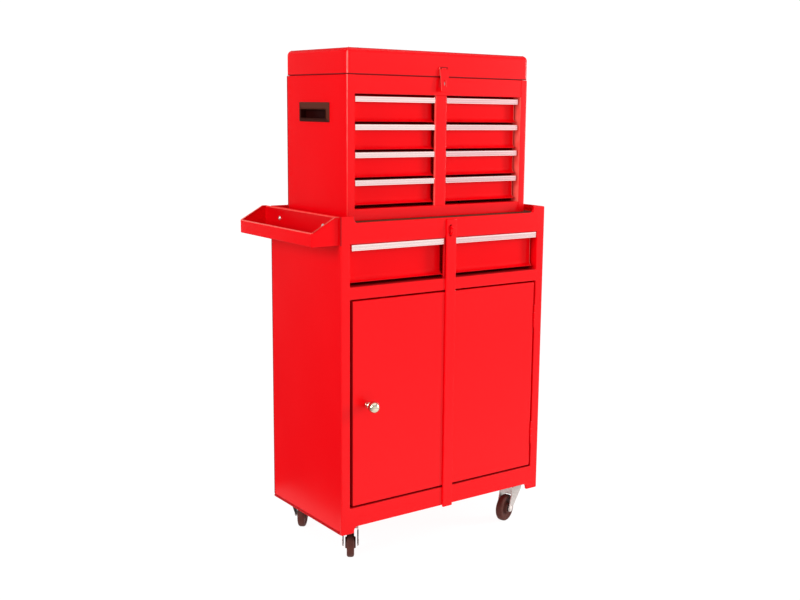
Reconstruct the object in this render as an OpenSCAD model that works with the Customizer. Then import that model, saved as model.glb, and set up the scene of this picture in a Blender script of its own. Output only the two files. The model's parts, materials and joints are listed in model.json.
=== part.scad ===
// Rolling tool cabinet: a sheet steel cabinet on casters with a lift-off drawer chest standing on it.
// X runs to the right, Y to the back, Z up. The origin is on the floor, under the middle of the outer box.

/* [Cabinet] */
// Width of the cabinet across its sides
base_w = 520; // [480:1:600]
// Depth of the cabinet, front frame to back
base_d = 286; // [270:1:330]
// Thickness of the folded sheet
sheet_t = 1; // [0.8:0.1:1.2]
// Width of the front frame's side stiles
stile_w = 20; // [18:1:28]
// Height of the rail above the cabinet drawers
top_rail_h = 41; // [36:1:55]
// Height of the cabinet drawer opening
drawer_open_h = 84; // [76:1:110]
// Height of the rail between drawers and door
mid_rail_h = 25; // [20:1:40]
// Height of the door opening
door_open_h = 426; // [380:1:480]
// Height of the rail under the door
bottom_rail_h = 41; // [34:1:60]
// Rise of the raised corners above the top rail, and drop of the feet below the bottom rail
corner_rise = 13; // [10:1:16]
// Width of each raised corner and foot, up to its curved step
corner_w = 30; // [24:1:40]
// Radius of the curved step beside each raised corner
corner_r = 9; // [5:1:10]
// Depth of the flanges folded back round the front openings
flange_d = 25; // [22:1:30]
// Width of the posts between the drawer columns
post_w = 28; // [26:1:34]
// Depth of the posts
post_d = 5; // [4:0.5:8]
// Set-back of the posts behind the front frames
post_setback = 4; // [3:0.5:6]
// Drop of the deck below the top rail
deck_drop = 3; // [2:0.5:5]
// Thickness of the mat on the deck
mat_t = 3; // [1.5:0.5:4]
// Margin of deck left bare round the mat
mat_margin = 8; // [4:1:16]

/* [Door] */
// Gap between door and frame at the hinges
door_gap = 4; // [4:0.5:5]
// Gap between door and frame at the door's free edge
door_free_gap = 6; // [4:0.5:8]
// Gap between door and frame, top and bottom
door_gap_z = 3.5; // [2:0.5:5]
// Depth of the door's folded edges
door_d = 10; // [10:1:16]
// Set-back of the door's face behind the frame's face
door_setback = 0.3; // [0.2:0.1:0.6]
// Height of a door hinge
hinge_h = 50; // [40:1:70]
// Distance of each hinge's middle from the end of the door
hinge_inset = 76; // [50:1:110]
// Radius of the door hinge pins
hinge_pin_r = 1.1; // [0.9:0.1:1.2]
// Thickness of hinge leaves
leaf_t = 1; // [0.8:0.1:1.2]
// Distance of the hinge pins in front of the frame's face
hinge_proud = 1; // [1:0.1:1.5]
// Distance of the knob from the door's free edge
knob_inset = 34; // [28:1:60]
// Height of the knob above the door's lower edge
knob_up = 207; // [120:1:300]
// Radius of the knob's ball
knob_r = 12; // [9:0.5:15]
// Distance from the door's face to the middle of the ball
knob_out = 24; // [20:1:30]

/* [Locking bar] */
// Width of the locking bar
bar_w = 25; // [20:1:25]
// Distance of the bar's face in front of the frame's face
bar_proud = 4; // [3:0.5:6]
// Distance of the bar's head below the edge of the top rail
bar_head_drop = 3; // [1:1:10]
// Distance of the bar's foot below the edge of the bottom rail
bar_foot_drop = 3.5; // [0:0.5:8]
// Width of the slot in the bar's head
bar_slot_w = 8; // [7:0.5:10]
// Height of that slot
bar_slot_h = 24; // [22:1:30]
// Distance of the slot's top below the bar's head
bar_slot_down = 11; // [8:1:13]
// Thickness of the padlock staple
staple_t = 3; // [2:0.5:3]
// Reach of the padlock staple in front of the frame
staple_reach = 14; // [14:0.5:18]
// Radius of the padlock eye
staple_eye_r = 3.5; // [3:0.25:3.5]

/* [Side tray] */
// Width of the side tray, out from the cabinet
tray_w = 61; // [45:1:90]
// Length of the side tray
tray_l = 298; // [240:1:310]
// Set-back of the tray's front end behind the frame
tray_setback = 7; // [5:1:30]
// Height of the tray's back wall, against the cabinet
tray_back_h = 55; // [45:1:70]
// Height of the tray's outer wall
tray_front_h = 27; // [18:1:35]
// Level part of the tray's ends, next to the cabinet
tray_end_flat = 10; // [4:1:20]
// Drop of the tray's back wall below the cabinet's top edge
tray_drop = 1; // [0:0.5:8]
// Distance of the front screw from the tray's front end
tray_screw_inset = 52; // [35:1:80]
// Distance of the rear screw from the tray's rear end
tray_screw_back_inset = 62; // [35:1:80]
// Depth of the tray's screws below the tray's top edge
tray_screw_down = 22; // [21:0.5:30]
// Radius of the tray's screw shanks
screw_r = 2; // [1.5:0.25:2.5]

/* [Casters] */
// Height of a caster, floor to plate
caster_h = 90; // [88:1:110]
// Rise of the cabinet floor above the underside of the feet
floor_rise = 15; // [10:1:25]
// Radius of the wheels
wheel_r = 30; // [25:1:31]
// Width of the wheels at the tread
wheel_w = 15.5; // [14:0.5:22]
// Width of the wheel hubs
hub_w = 22; // [22:1:25]
// Radius of the axles
axle_r = 4; // [3:0.5:5]
// Distance of the swivel axes from the cabinet's sides
caster_inset_x = 45.5; // [44:0.5:70]
// Distance of the swivel axes from the cabinet's front and back
caster_inset_y = 40; // [38:1:60]
// Trail of each axle behind its swivel axis
caster_trail = 21; // [16:1:24]
// Thickness of the fork legs
fork_t = 2.5; // [2:0.25:3]
// Reach of the fork's heel ahead of the swivel axis
fork_heel = 25; // [18:1:27]
// Height of the fork's heel
fork_heel_h = 12; // [8:1:16]
// Room between hub and fork leg
hub_room = 0.5; // [0.5:0.5:3]
// Heading of the front left caster, from +X
swivel_front_left = 58; // [0:1:359]
// Heading of the front right caster, from +X
swivel_front_right = 200; // [0:1:359]
// Heading of the rear left caster, from +X
swivel_rear_left = 50; // [0:1:359]
// Heading of the rear right caster, from +X
swivel_rear_right = 75; // [0:1:359]

/* [Chest] */
// Width of the chest
chest_w = 456; // [430:1:470]
// Depth of the chest
chest_d = 239; // [225:1:245]
// Set-back of the chest's front behind the cabinet's front
chest_setback = 31; // [20:1:35]
// Width of the chest frame's side stiles
chest_stile_w = 18; // [16:1:26]
// Height of the chest frame's bottom rail
chest_bottom_rail_h = 22.7; // [18:0.1:35]
// Height of the chest's drawer opening
chest_open_h = 223; // [205:1:260]
// Height of the chest frame's top rail
chest_top_rail_h = 36; // [34:1:50]
// Rise of the till floor above the drawer opening
till_rise = 4; // [3:1:8]
// Height of the lid
lid_h = 49.5; // [40:0.5:70]
// Radius of the lid's rounded top edges
lid_r = 8.5; // [4:0.5:10]
// Gap between lid and chest
lid_gap = 1.6; // [0.3:0.1:2]
// Length of the lid hinge
lid_hinge_l = 400; // [300:1:420]
// Number of knuckles along the lid hinge
lid_knuckles = 9; // [5:2:13]
// Height of each lid hinge leaf
lid_leaf_h = 20; // [15:1:28]
// Outer radius of the lid hinge knuckles
lid_knuckle_r = 2.4; // [2:0.1:3]
// Radius of the lid hinge pin
lid_pin_r = 1.2; // [1:0.1:1.4]

/* [Carrying handles] */
// Length of a handle's bezel
handle_l = 118; // [100:1:140]
// Height of a handle's bezel
handle_h = 39; // [32:1:50]
// Width of the bezel's border in front of the pocket
handle_border = 12.5; // [8:0.5:14]
// Width of the bezel's border behind the pocket
handle_back_border = 4.5; // [4:0.5:8]
// Height of the grip above the pocket
handle_grip = 13; // [9:0.5:14]
// Height of the border below the pocket
handle_sill = 6; // [4:0.5:8]
// Distance that the bezel stands proud of the chest
handle_proud = 1.5; // [1:0.25:2.5]
// Depth of the handle's cup
handle_depth = 13; // [10:0.5:13]
// Wall of the handle's cup
handle_wall = 1.5; // [1:0.25:2]
// Distance of the bezel's front end from the chest's front
handle_setback = 65; // [50:1:90]
// Depth of the bezel's top edge below the chest's top
handle_down = 53; // [40:1:80]

/* [Hasp] */
// Width of the hasp
hasp_w = 20; // [18:1:30]
// Length of the hasp below its pin
hasp_l = 48; // [46:1:56]
// Thickness of the hasp
hasp_t = 1.2; // [1:0.1:1.4]
// Height of the hasp's pin above the chest's top edge
hasp_up = 18.5; // [16:0.5:22]
// Outer radius of the hasp's knuckles
hasp_knuckle_r = 1.8; // [1.6:0.1:2]
// Radius of the hasp's pin
hasp_pin_r = 0.9; // [0.7:0.1:1]
// Angle at which the hasp rests against its staple, out from the chest
hasp_lean = 8; // [8:1:14]
// Reach of the hasp's staple in front of the chest
hasp_staple_reach = 6.4; // [6:0.1:6.4]
// Height of the hasp's staple
hasp_staple_h = 9; // [8:0.5:10]
// Thickness of the hasp's staple
hasp_staple_t = 2.5; // [2:0.25:3]
// Radius of the hasp staple's eye
hasp_eye_r = 1.3; // [1:0.1:1.4]
// Depth of that staple's middle below the hasp's pin
hasp_staple_down = 31; // [30:0.5:33]

/* [Drawers] */
// Rows of drawers in the chest
rows = 4; // [4:1:4]
// Gap above the top row of chest drawers
row_top_gap = 3.8; // [2:0.2:6]
// Gap between rows of chest drawers
row_gap = 4.9; // [4:0.1:7]
// Gap under the bottom row of chest drawers
row_bottom_gap = 7.2; // [5:0.2:9]
// Gap above the cabinet drawers
base_top_gap = 0.7; // [0.5:0.1:2]
// Gap under the cabinet drawers
base_bottom_gap = 7.5; // [5:0.5:9]
// Gap between a drawer and the sides of its opening
side_gap = 4; // [3.5:0.1:5]
// Gap between a drawer and the post beside it
post_gap = 3; // [2.5:0.1:4]
// Set-back of the drawer faces behind the front frames
face_setback = 18; // [15:1:22]
// Radius of the cove that brings a face's foot forward
lip_r = 9; // [6:0.5:11]
// Set-back of the pulls behind the front frames
pull_setback = 2; // [1:0.5:4]
// Height of the cabinet drawers' pulls
base_pull_h = 13.5; // [11:0.5:18]
// Height of the chest drawers' pulls
chest_pull_h = 14; // [11:0.5:18]
// Thickness of the pulls
pull_t = 1.8; // [1.4:0.1:2.4]
// Overhang of the pulls past the drawers, towards the posts
pull_over = 2; // [0:0.5:2]
// Set-back of the chest pulls behind the chest's front frame
chest_pull_setback = 5; // [4:0.5:6]
// Height of the cabinet drawers' sides
base_side_h = 60; // [45:1:62]
// Height of the chest drawers' sides
chest_side_h = 38; // [30:1:40]
// Room behind the drawers
drawer_back_room = 8; // [5:1:14]
// Height of a runner's web
runner_h = 18; // [14:1:20]
// Width of a runner's ledge
runner_ledge = 12; // [10:1:16]

/* [Clearances] */
// Room between parts that slide or rest on each other
slide_clear = 0.3; // [0.2:0.05:0.4]
// Radial room round pins, axles and screws
pin_clear = 0.05; // [0.03:0.01:0.08]
// Room between neighbouring knuckles
knuckle_gap = 0.4; // [0.3:0.1:0.6]

/* [Hidden] */
$fn = 48;
eps = 0.01;
// Overrun of a cut past the face that it opens
cut = 1;
red = "#e8151c";
zinc = "#b9b9bd";
aluminium = "#d9d6d8";
black = "#1d1a19";

// Levels, from the floor up
foot_z = caster_h - floor_rise;
floor_z = caster_h;
rail_foot_z = foot_z + corner_rise;
door_foot_z = rail_foot_z + bottom_rail_h;
door_top_z = door_foot_z + door_open_h;
open_foot_z = door_top_z + mid_rail_h;
open_top_z = open_foot_z + drawer_open_h;
rail_top_z = open_top_z + top_rail_h;
base_top_z = rail_top_z + corner_rise;
deck_z = rail_top_z - deck_drop;
mat_z = deck_z + mat_t;
drawer_deck_z = door_top_z + mid_rail_h/2;
chest_z = mat_z + slide_clear;
chest_open_z = chest_z + chest_bottom_rail_h;
chest_open_top_z = chest_open_z + chest_open_h;
chest_top_z = chest_open_top_z + chest_top_rail_h;
till_z = chest_open_top_z + till_rise;
lid_z = chest_top_z + lid_gap;
lid_top_z = lid_z + lid_h;

// Places across and in depth
open_x = base_w/2 - stile_w;
chest_open_x = chest_w/2 - chest_stile_w;
chest_y = chest_setback;
chest_back_y = chest_y + chest_d;
tray_end_y = tray_setback + tray_l;
tray_top_z = base_top_z - tray_drop;
tray_foot_z = tray_top_z - tray_back_h;
tray_screw_z = tray_top_z - tray_screw_down;
tray_screw_ys = [tray_setback + tray_screw_inset, tray_end_y - tray_screw_back_inset];

// Door and its hinges
door_x0 = -open_x + door_free_gap;
door_x1 = open_x - door_gap;
door_z0 = door_foot_z + door_gap_z;
door_z1 = door_top_z - door_gap_z;
pivot_x = open_x - door_gap/2;
pivot_y = -hinge_proud;
knuckle_r = door_gap/2 - 2*pin_clear;
hinge_zs = [door_z0 + hinge_inset, door_z1 - hinge_inset];
hinge_leaf_margin = 2;
hinge_leaf_d = door_d - hinge_leaf_margin;
leaf_front_y = pivot_y + knuckle_r + knuckle_gap;
knob_x = door_x0 + knob_inset;
knob_z = door_z0 + knob_up;

// Locking bar
bar_top_z = rail_top_z - bar_head_drop;
bar_foot_z = rail_foot_z - bar_foot_drop;
bar_slot_z = bar_top_z - bar_slot_down - bar_slot_h/2;
bar_back_gap = 0.4;
staple_room = 2;
staple_h = bar_slot_h - 2*staple_room;
staple_eye_y = -(staple_reach + bar_proud)/2;

// Casters: places and headings, front left, front right, rear left, rear right
caster_xs = [-1, 1, -1, 1] * (base_w/2 - caster_inset_x);
caster_ys = [caster_inset_y, caster_inset_y, base_d - caster_inset_y, base_d - caster_inset_y];
caster_headings = [swivel_front_left, swivel_front_right, swivel_rear_left, swivel_rear_right];
plate_t = 2.5;
plate_w = 50;
plate_d = 46;
bolt_r = 2.4;
bolt_dx = 19;
bolt_dy = 17;
bolt_head_r = 4.2;
bolt_head_h = 2.7;
king_r = 5;
king_head_r = 8;
king_head_h = 3;
crown_r = 18;
crown_t = 3.2;
race_h = 7;
plate_z = caster_h - plate_t;
crown_top_z = plate_z - slide_clear;
crown_z = crown_top_z - race_h;
crown_foot_z = crown_z - crown_t;
fork_in = hub_w/2 + hub_room;
fork_out = fork_in + fork_t;
leg_tip_wall = 3;
leg_tip_r = axle_r + leg_tip_wall;
axle_nut_h = 3;
axle_nut_wall = 2.4;
axle_nut_r = axle_r + axle_nut_wall;
skirt_room = 3;
skirt_foot_z = 2*wheel_r + skirt_room;

// Lid hinge, along the top of the chest's back
lid_axis_y = chest_back_y + slide_clear + lid_knuckle_r;
lid_axis_z = chest_top_z + lid_gap/2;
lid_seg = lid_hinge_l/lid_knuckles;
lid_leaf_room = lid_knuckle_r + 2*knuckle_gap;

// Hasp, on the front of lid and chest
hasp_axis_y = chest_y - slide_clear - hasp_knuckle_r;
hasp_axis_z = chest_top_z + hasp_up;
hasp_staple_z = hasp_axis_z - hasp_staple_down;
hasp_mid = hasp_w/4;
hasp_slot_room_x = 1.5;
hasp_slot_room_z = 2.5;
hasp_slot_w = hasp_staple_t + 2*hasp_slot_room_x;
hasp_slot_h = hasp_staple_h + 2*hasp_slot_room_z;
hasp_leaf_margin = 2;
hasp_leaf_foot = hasp_up - lid_gap - hasp_leaf_margin;
hasp_eye_wall = 0.7;

// Carrying handles
handle_y = chest_y + handle_setback;
handle_z = chest_top_z - handle_down - handle_h;
pocket_ys = [handle_y + handle_border, handle_y + handle_l - handle_back_border];
pocket_zs = [handle_z + handle_sill, handle_z + handle_h - handle_grip];

// Drawer fronts
cove_steps = 12;
chest_pitch = (chest_open_h - row_top_gap - row_bottom_gap + row_gap)/rows;
chest_front_h = chest_pitch - row_gap;
chest_drawer_w = chest_open_x - post_w/2 - side_gap - post_gap;
base_front_h = drawer_open_h - base_top_gap - base_bottom_gap;
base_drawer_w = open_x - post_w/2 - side_gap - post_gap;
base_drawer_z = open_foot_z + base_bottom_gap;
base_drawer_d = base_d - sheet_t - drawer_back_room;
chest_drawer_d = chest_d - sheet_t - drawer_back_room;
runner_lip = 2;
runner_tongue = 6;
runner_bearing = 8;

// Middle of the outer box, which stands over the origin
front_y = min(door_setback - knob_out - knob_r, -staple_reach);
mid_x = -tray_w/2;
mid_y = (front_y + max(tray_end_y, base_d, lid_axis_y + lid_knuckle_r))/2;

sides = ["left", "right"];
corners = ["front_left", "front_right", "rear_left", "rear_right"];

// A box between two corners
module block(low, high) {
    translate(low) cube(high - low);
}

// A profile drawn in Y and Z, swept along X from x0 for a length
module along_x(x0, length) {
    translate([x0, 0, 0]) rotate([90, 0, 90]) linear_extrude(length) children();
}

// A profile drawn in X and Z, swept back along Y from y0 for a depth
module along_y(y0, depth) {
    translate([0, y0 + depth, 0]) rotate([90, 0, 0]) linear_extrude(depth) children();
}

// A round bar along X
module bar_x(r, x0, length) {
    translate([x0, 0, 0]) rotate([0, 90, 0]) cylinder(r = r, h = length);
}

// Sheet folded round three sides: left, back and right, open at the front
module wrap(w, y0, y1, z0, z1) {
    difference() {
        block([-w/2, y0, z0], [w/2, y1, z1]);
        block([sheet_t - w/2, y0 - cut, z0 - cut], [w/2 - sheet_t, y1 - sheet_t, z1 + cut]);
    }
}

// Flange folded back round an opening that is half_w to each side and runs from z0 to z1
module opening_flange(half_w, y0, z0, z1) {
    along_y(y0, flange_d) difference() {
        translate([-half_w - sheet_t, z0 - sheet_t]) square([2*(half_w + sheet_t), z1 - z0 + 2*sheet_t]);
        translate([-half_w, z0]) square([2*half_w, z1 - z0]);
    }
}

// Post between two drawer columns, a channel open to the back
module post(y0, z0, z1) {
    difference() {
        block([-post_w/2, y0 + post_setback, z0], [post_w/2, y0 + post_setback + post_d, z1]);
        block([sheet_t - post_w/2, y0 + post_setback + sheet_t, z0 - cut],
              [post_w/2 - sheet_t, y0 + post_setback + post_d + cut, z1 + cut]);
    }
}

// Angle runner at the left of an opening, in line with the flange there, with its ledge's top at z
module side_runner(x, y0, y1, z) {
    along_y(y0, y1 - y0) {
        translate([x - sheet_t, z - sheet_t - runner_lip]) square([sheet_t, runner_h]);
        translate([x - sheet_t, z - sheet_t]) square([runner_ledge, sheet_t]);
    }
}

// Flat runner from the left half of a post to the back, widened behind the drawer's face, with its top at z
module middle_runner(y0, y1, z) {
    inner_x = sheet_t + runner_tongue - post_w/2;
    outer_x = -post_w/2 - post_gap - runner_bearing;
    wide_y = y0 + face_setback + 2*sheet_t;
    block([sheet_t - post_w/2, y0 + post_setback + sheet_t, z - sheet_t], [inner_x, y1, z]);
    block([outer_x, wide_y, z - sheet_t], [inner_x, y1, z]);
}

// Profile of a drawer face in Y and Z: a straight sheet with a cove that brings its foot forward
module face_profile(h) {
    lip_y = face_setback - lip_r;
    lip_z = sheet_t + lip_r;
    polygon(concat(
        [[lip_y, 0], [face_setback + sheet_t, 0], [face_setback + sheet_t, h], [face_setback, h]],
        [for (a = [0:90/cove_steps:90]) [lip_y + lip_r*cos(a), lip_z - lip_r*sin(a)]]));
}

// A drawer: face, floor, sides and back, with its lower left corner at the origin
module drawer(w, h, d, side_h) {
    along_x(0, w) face_profile(h);
    difference() {
        block([0, face_setback, 0], [w, d, side_h]);
        block([sheet_t, face_setback + sheet_t, sheet_t], [w - sheet_t, d - sheet_t, side_h + cut]);
    }
}

// A pull: a strip of aluminium in front of the face, bent back to it along the top
module pull(w, h, pull_h, setback) {
    along_x(0, w) {
        translate([setback, h - pull_h + pull_t/2]) square([pull_t, pull_h - pull_t]);
        translate([setback + pull_t/2, h - pull_h + pull_t/2]) circle(pull_t/2);
        translate([setback + pull_t/2, h - pull_t/2]) circle(pull_t/2);
        translate([setback + pull_t/2, h - pull_t]) square([face_setback - setback - pull_t/2, pull_t]);
    }
}

// Places of the drawers' lower left corners
function base_drawer_at(c) = [c == 0 ? -open_x + side_gap : post_w/2 + post_gap, 0, base_drawer_z];
function chest_drawer_at(c, r) = [c == 0 ? -chest_open_x + side_gap : post_w/2 + post_gap, chest_y,
    chest_open_z + row_bottom_gap + (rows - 1 - r)*chest_pitch];

// Cabinet

module cabinet_wrap() {
    color(red) difference() {
        wrap(base_w, sheet_t, base_d, foot_z, base_top_z);
        for (y = tray_screw_ys) translate([-base_w/2, y, tray_screw_z])
            bar_x(screw_r + pin_clear, -cut, sheet_t + 2*cut);
    }
}

// Outline of the front frame in X and Z: corners stand above the top rail, feet below the bottom rail
module frame_outline() {
    difference() {
        translate([-base_w/2, foot_z]) square([base_w, base_top_z - foot_z]);
        for (m = [0, 1]) mirror([m, 0]) {
            step_x = base_w/2 - corner_w;
            for (edge = [[rail_top_z, 1, base_top_z], [rail_foot_z, -1, foot_z]]) {
                low = min(edge[0], edge[2] + edge[1]*cut);
                translate([-eps, low]) square([step_x - corner_r + eps, corner_rise + cut]);
                difference() {
                    translate([step_x - corner_r - eps, low]) square([corner_r + eps, corner_rise + cut]);
                    translate([step_x - corner_r, edge[0]]) difference() {
                        translate([-cut, edge[1] > 0 ? 0 : -corner_r]) square([corner_r + cut, corner_r]);
                        translate([0, edge[1]*corner_r]) circle(corner_r);
                    }
                }
            }
        }
    }
}

module cabinet_front_frame() {
    color(red) {
        along_y(0, sheet_t) difference() {
            frame_outline();
            translate([-open_x, open_foot_z]) square([2*open_x, drawer_open_h]);
            translate([-open_x, door_foot_z]) square([2*open_x, door_open_h]);
        }
        opening_flange(open_x, sheet_t, open_foot_z, open_top_z);
        opening_flange(open_x, sheet_t, door_foot_z, door_top_z);
    }
}

module cabinet_post() {
    color(red) post(0, open_foot_z, open_top_z);
}

// A level panel inside the cabinet
module cabinet_panel(z) {
    block([sheet_t - base_w/2, sheet_t, z], [base_w/2 - sheet_t, base_d - sheet_t, z + sheet_t]);
}

module cabinet_floor() {
    color(red) difference() {
        cabinet_panel(floor_z);
        for (k = [0:3], sx = [-1, 1], sy = [-1, 1])
            translate([caster_xs[k] + sx*bolt_dx, caster_ys[k] + sy*bolt_dy, floor_z - cut])
                cylinder(r = bolt_r + pin_clear, h = sheet_t + 2*cut);
    }
}

module top_deck() {
    color(red) cabinet_panel(deck_z - sheet_t);
}

module deck_mat() {
    edge = sheet_t + mat_margin;
    color("#4a4642") block([edge - base_w/2, edge, deck_z], [base_w/2 - edge, base_d - edge, mat_z]);
}

module drawer_deck() {
    color(red) cabinet_panel(drawer_deck_z);
}

module cabinet_runners() {
    z = base_drawer_z - slide_clear;
    color(red) for (m = [0, 1]) mirror([m, 0, 0]) {
        side_runner(-open_x, sheet_t + flange_d, base_d - sheet_t, z);
        middle_runner(0, base_d - sheet_t, z);
    }
}

// Outline of the tray's ends in X and Z, grown inwards by a wall
module tray_end_outline(wall) {
    x0 = -base_w/2 - tray_w + wall;
    x1 = -base_w/2 - wall;
    polygon([[x0, tray_foot_z + wall], [x1, tray_foot_z + wall], [x1, tray_top_z + 2*wall],
             [-base_w/2 - tray_end_flat, tray_top_z + 2*wall], [x0, tray_foot_z + tray_front_h + 2*wall]]);
}

module side_tray() {
    color(red) difference() {
        along_y(tray_setback, tray_l) tray_end_outline(0);
        along_y(tray_setback + sheet_t, tray_l - 2*sheet_t) tray_end_outline(sheet_t);
        for (y = tray_screw_ys) translate([-base_w/2 - sheet_t, y, tray_screw_z])
            bar_x(screw_r + pin_clear, -cut, sheet_t + 2*cut);
    }
}

module tray_screws() {
    head_h = 2.6;
    head_r = 2.3*screw_r;
    screw_end = 5;
    color(zinc) for (y = tray_screw_ys) translate([-base_w/2 - sheet_t, y, tray_screw_z]) {
        bar_x(screw_r, -eps, 2*sheet_t + screw_end);
        bar_x(head_r, -head_h, head_h);
    }
}

module bar_staple() {
    color(red) translate([staple_t/2, 0, bar_slot_z]) rotate([0, -90, 0])
        linear_extrude(staple_t) difference() {
            union() {
                translate([-staple_h/2, -staple_reach/2]) square([staple_h, staple_reach/2]);
                intersection() {
                    translate([0, -staple_reach + staple_h/2]) circle(staple_h/2);
                    translate([-staple_h/2, -staple_reach]) square([staple_h, staple_reach]);
                }
            }
            translate([0, staple_eye_y]) circle(staple_eye_r);
        }
}

// A hinge leaf's knuckle and the plate behind it, between two heights; dir points to its side of the gap
module door_knuckle(dir, z0, z1) {
    difference() {
        union() {
            translate([pivot_x, pivot_y, z0]) cylinder(r = knuckle_r, h = z1 - z0);
            leaf_x = pivot_x + dir*door_gap/2;
            block([min(leaf_x, leaf_x - dir*leaf_t), pivot_y, z0],
                  [max(leaf_x, leaf_x - dir*leaf_t), leaf_front_y + eps, z1]);
        }
        translate([pivot_x, pivot_y, z0 - cut])
            cylinder(r = hinge_pin_r + pin_clear, h = z1 - z0 + 2*cut);
    }
}

// The plate of a door hinge leaf, in the gap beside door or frame
module door_leaf(dir, z) {
    leaf_x = pivot_x + dir*door_gap/2;
    block([min(leaf_x, leaf_x - dir*leaf_t), leaf_front_y, z - hinge_h/2],
          [max(leaf_x, leaf_x - dir*leaf_t), hinge_leaf_d, z + hinge_h/2]);
}

module frame_hinge_leaves() {
    color(red) for (z = hinge_zs) {
        door_leaf(1, z);
        door_knuckle(1, z - hinge_h/2, z - hinge_h/6 - knuckle_gap/2);
        door_knuckle(1, z + hinge_h/6 + knuckle_gap/2, z + hinge_h/2);
    }
}

// Casters

module caster_plates() {
    color(zinc) for (k = [0:3]) translate([caster_xs[k], caster_ys[k], 0]) {
        difference() {
            union() {
                block([-plate_w/2, -plate_d/2, plate_z], [plate_w/2, plate_d/2, caster_h]);
                translate([0, 0, crown_foot_z - slide_clear - king_head_h])
                    cylinder(r = king_head_r, h = king_head_h);
                translate([0, 0, crown_foot_z - slide_clear - eps])
                    cylinder(r = king_r, h = plate_z - crown_foot_z + slide_clear + 2*eps);
            }
            for (sx = [-1, 1], sy = [-1, 1]) translate([sx*bolt_dx, sy*bolt_dy, plate_z - cut])
                cylinder(r = bolt_r + pin_clear, h = plate_t + 2*cut);
        }
        for (sx = [-1, 1], sy = [-1, 1]) translate([sx*bolt_dx, sy*bolt_dy, 0]) {
            translate([0, 0, plate_z - bolt_head_h]) cylinder(r = bolt_head_r, h = bolt_head_h, $fn = 6);
            translate([0, 0, plate_z - eps]) cylinder(r = bolt_r, h = plate_t + sheet_t + 2*eps);
            translate([0, 0, floor_z + sheet_t]) cylinder(r = bolt_head_r, h = bolt_head_h, $fn = 6);
        }
    }
}

// Outline of a fork leg in its own plane: trail across, height up
module fork_leg_outline() {
    difference() {
        union() {
            polygon([[-fork_heel, crown_z], [crown_r, crown_z], [crown_r, skirt_foot_z],
                     [caster_trail + leg_tip_r, wheel_r], [caster_trail - leg_tip_r, wheel_r],
                     [-fork_heel, crown_z - fork_heel_h]]);
            translate([caster_trail, wheel_r]) circle(leg_tip_r);
        }
        translate([caster_trail, wheel_r]) circle(axle_r + pin_clear);
    }
}

// Puts a caster part at its place, turned to its heading
module at_caster(k) {
    translate([caster_xs[k], caster_ys[k], 0]) rotate([0, 0, caster_headings[k]]) children();
}

module caster_fork(k) {
    color(zinc) at_caster(k) {
        difference() {
            union() {
                translate([0, 0, crown_foot_z]) cylinder(r = crown_r, h = race_h + crown_t);
                block([-fork_heel, -fork_out, crown_foot_z], [crown_r, fork_out, crown_z]);
                block([crown_r - fork_t, -fork_out, skirt_foot_z], [crown_r, fork_out, crown_z]);
                for (y = [-fork_out, fork_in]) along_y(y, fork_t) fork_leg_outline();
            }
            translate([0, 0, crown_foot_z - cut])
                cylinder(r = king_r + pin_clear, h = race_h + crown_t + 2*cut);
        }
        translate([caster_trail, fork_out + axle_nut_h, wheel_r]) rotate([90, 0, 0])
            cylinder(r = axle_r, h = 2*(fork_out + axle_nut_h));
        for (y = [-fork_out, fork_out + axle_nut_h]) translate([caster_trail, y, wheel_r]) rotate([90, 0, 0])
            cylinder(r = axle_nut_r, h = axle_nut_h, $fn = 6);
    }
}

// Half section of a wheel: radius across, half width up
module wheel_section() {
    edge_r = 3;
    hub_r = 0.42*wheel_r;
    rim_r = 0.72*wheel_r;
    web_w = 0.72*wheel_w;
    translate([axle_r + pin_clear, -hub_w/2]) square([hub_r - axle_r - pin_clear, hub_w]);
    translate([hub_r - eps, -web_w/2]) square([rim_r - hub_r + 2*eps, web_w]);
    translate([rim_r, -wheel_w/2]) square([wheel_r - rim_r - edge_r, wheel_w]);
    translate([wheel_r - edge_r - eps, edge_r - wheel_w/2]) square([edge_r + eps, wheel_w - 2*edge_r]);
    for (s = [-1, 1]) translate([wheel_r - edge_r, s*(wheel_w/2 - edge_r)]) circle(edge_r);
}

module caster_wheel(k) {
    color(black) at_caster(k) translate([caster_trail, 0, wheel_r]) rotate([90, 0, 0])
        rotate_extrude() wheel_section();
}

// Door

module door_panel() {
    color(red) difference() {
        block([door_x0, door_setback, door_z0], [door_x1, door_setback + door_d, door_z1]);
        block([door_x0 + sheet_t, door_setback + sheet_t, door_z0 + sheet_t],
              [door_x1 - sheet_t, door_setback + door_d + cut, door_z1 - sheet_t]);
    }
}

module door_hinge_leaves() {
    color(red) for (z = hinge_zs) {
        door_leaf(-1, z);
        door_knuckle(-1, z - hinge_h/6 + knuckle_gap/2, z + hinge_h/6 - knuckle_gap/2);
    }
}

module door_hinge_pins() {
    color(zinc) for (z = hinge_zs) translate([pivot_x, pivot_y, z - hinge_h/2])
        cylinder(r = hinge_pin_r, h = hinge_h);
}

module door_knob() {
    stem_r = knob_r*0.45;
    base_r = knob_r*0.75;
    base_h = 3;
    color("#dfe2e6") translate([knob_x, door_setback, knob_z]) rotate([90, 0, 0]) {
        cylinder(r = base_r, h = base_h);
        cylinder(r = stem_r, h = knob_out);
        translate([0, 0, knob_out]) sphere(knob_r);
    }
}

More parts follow.
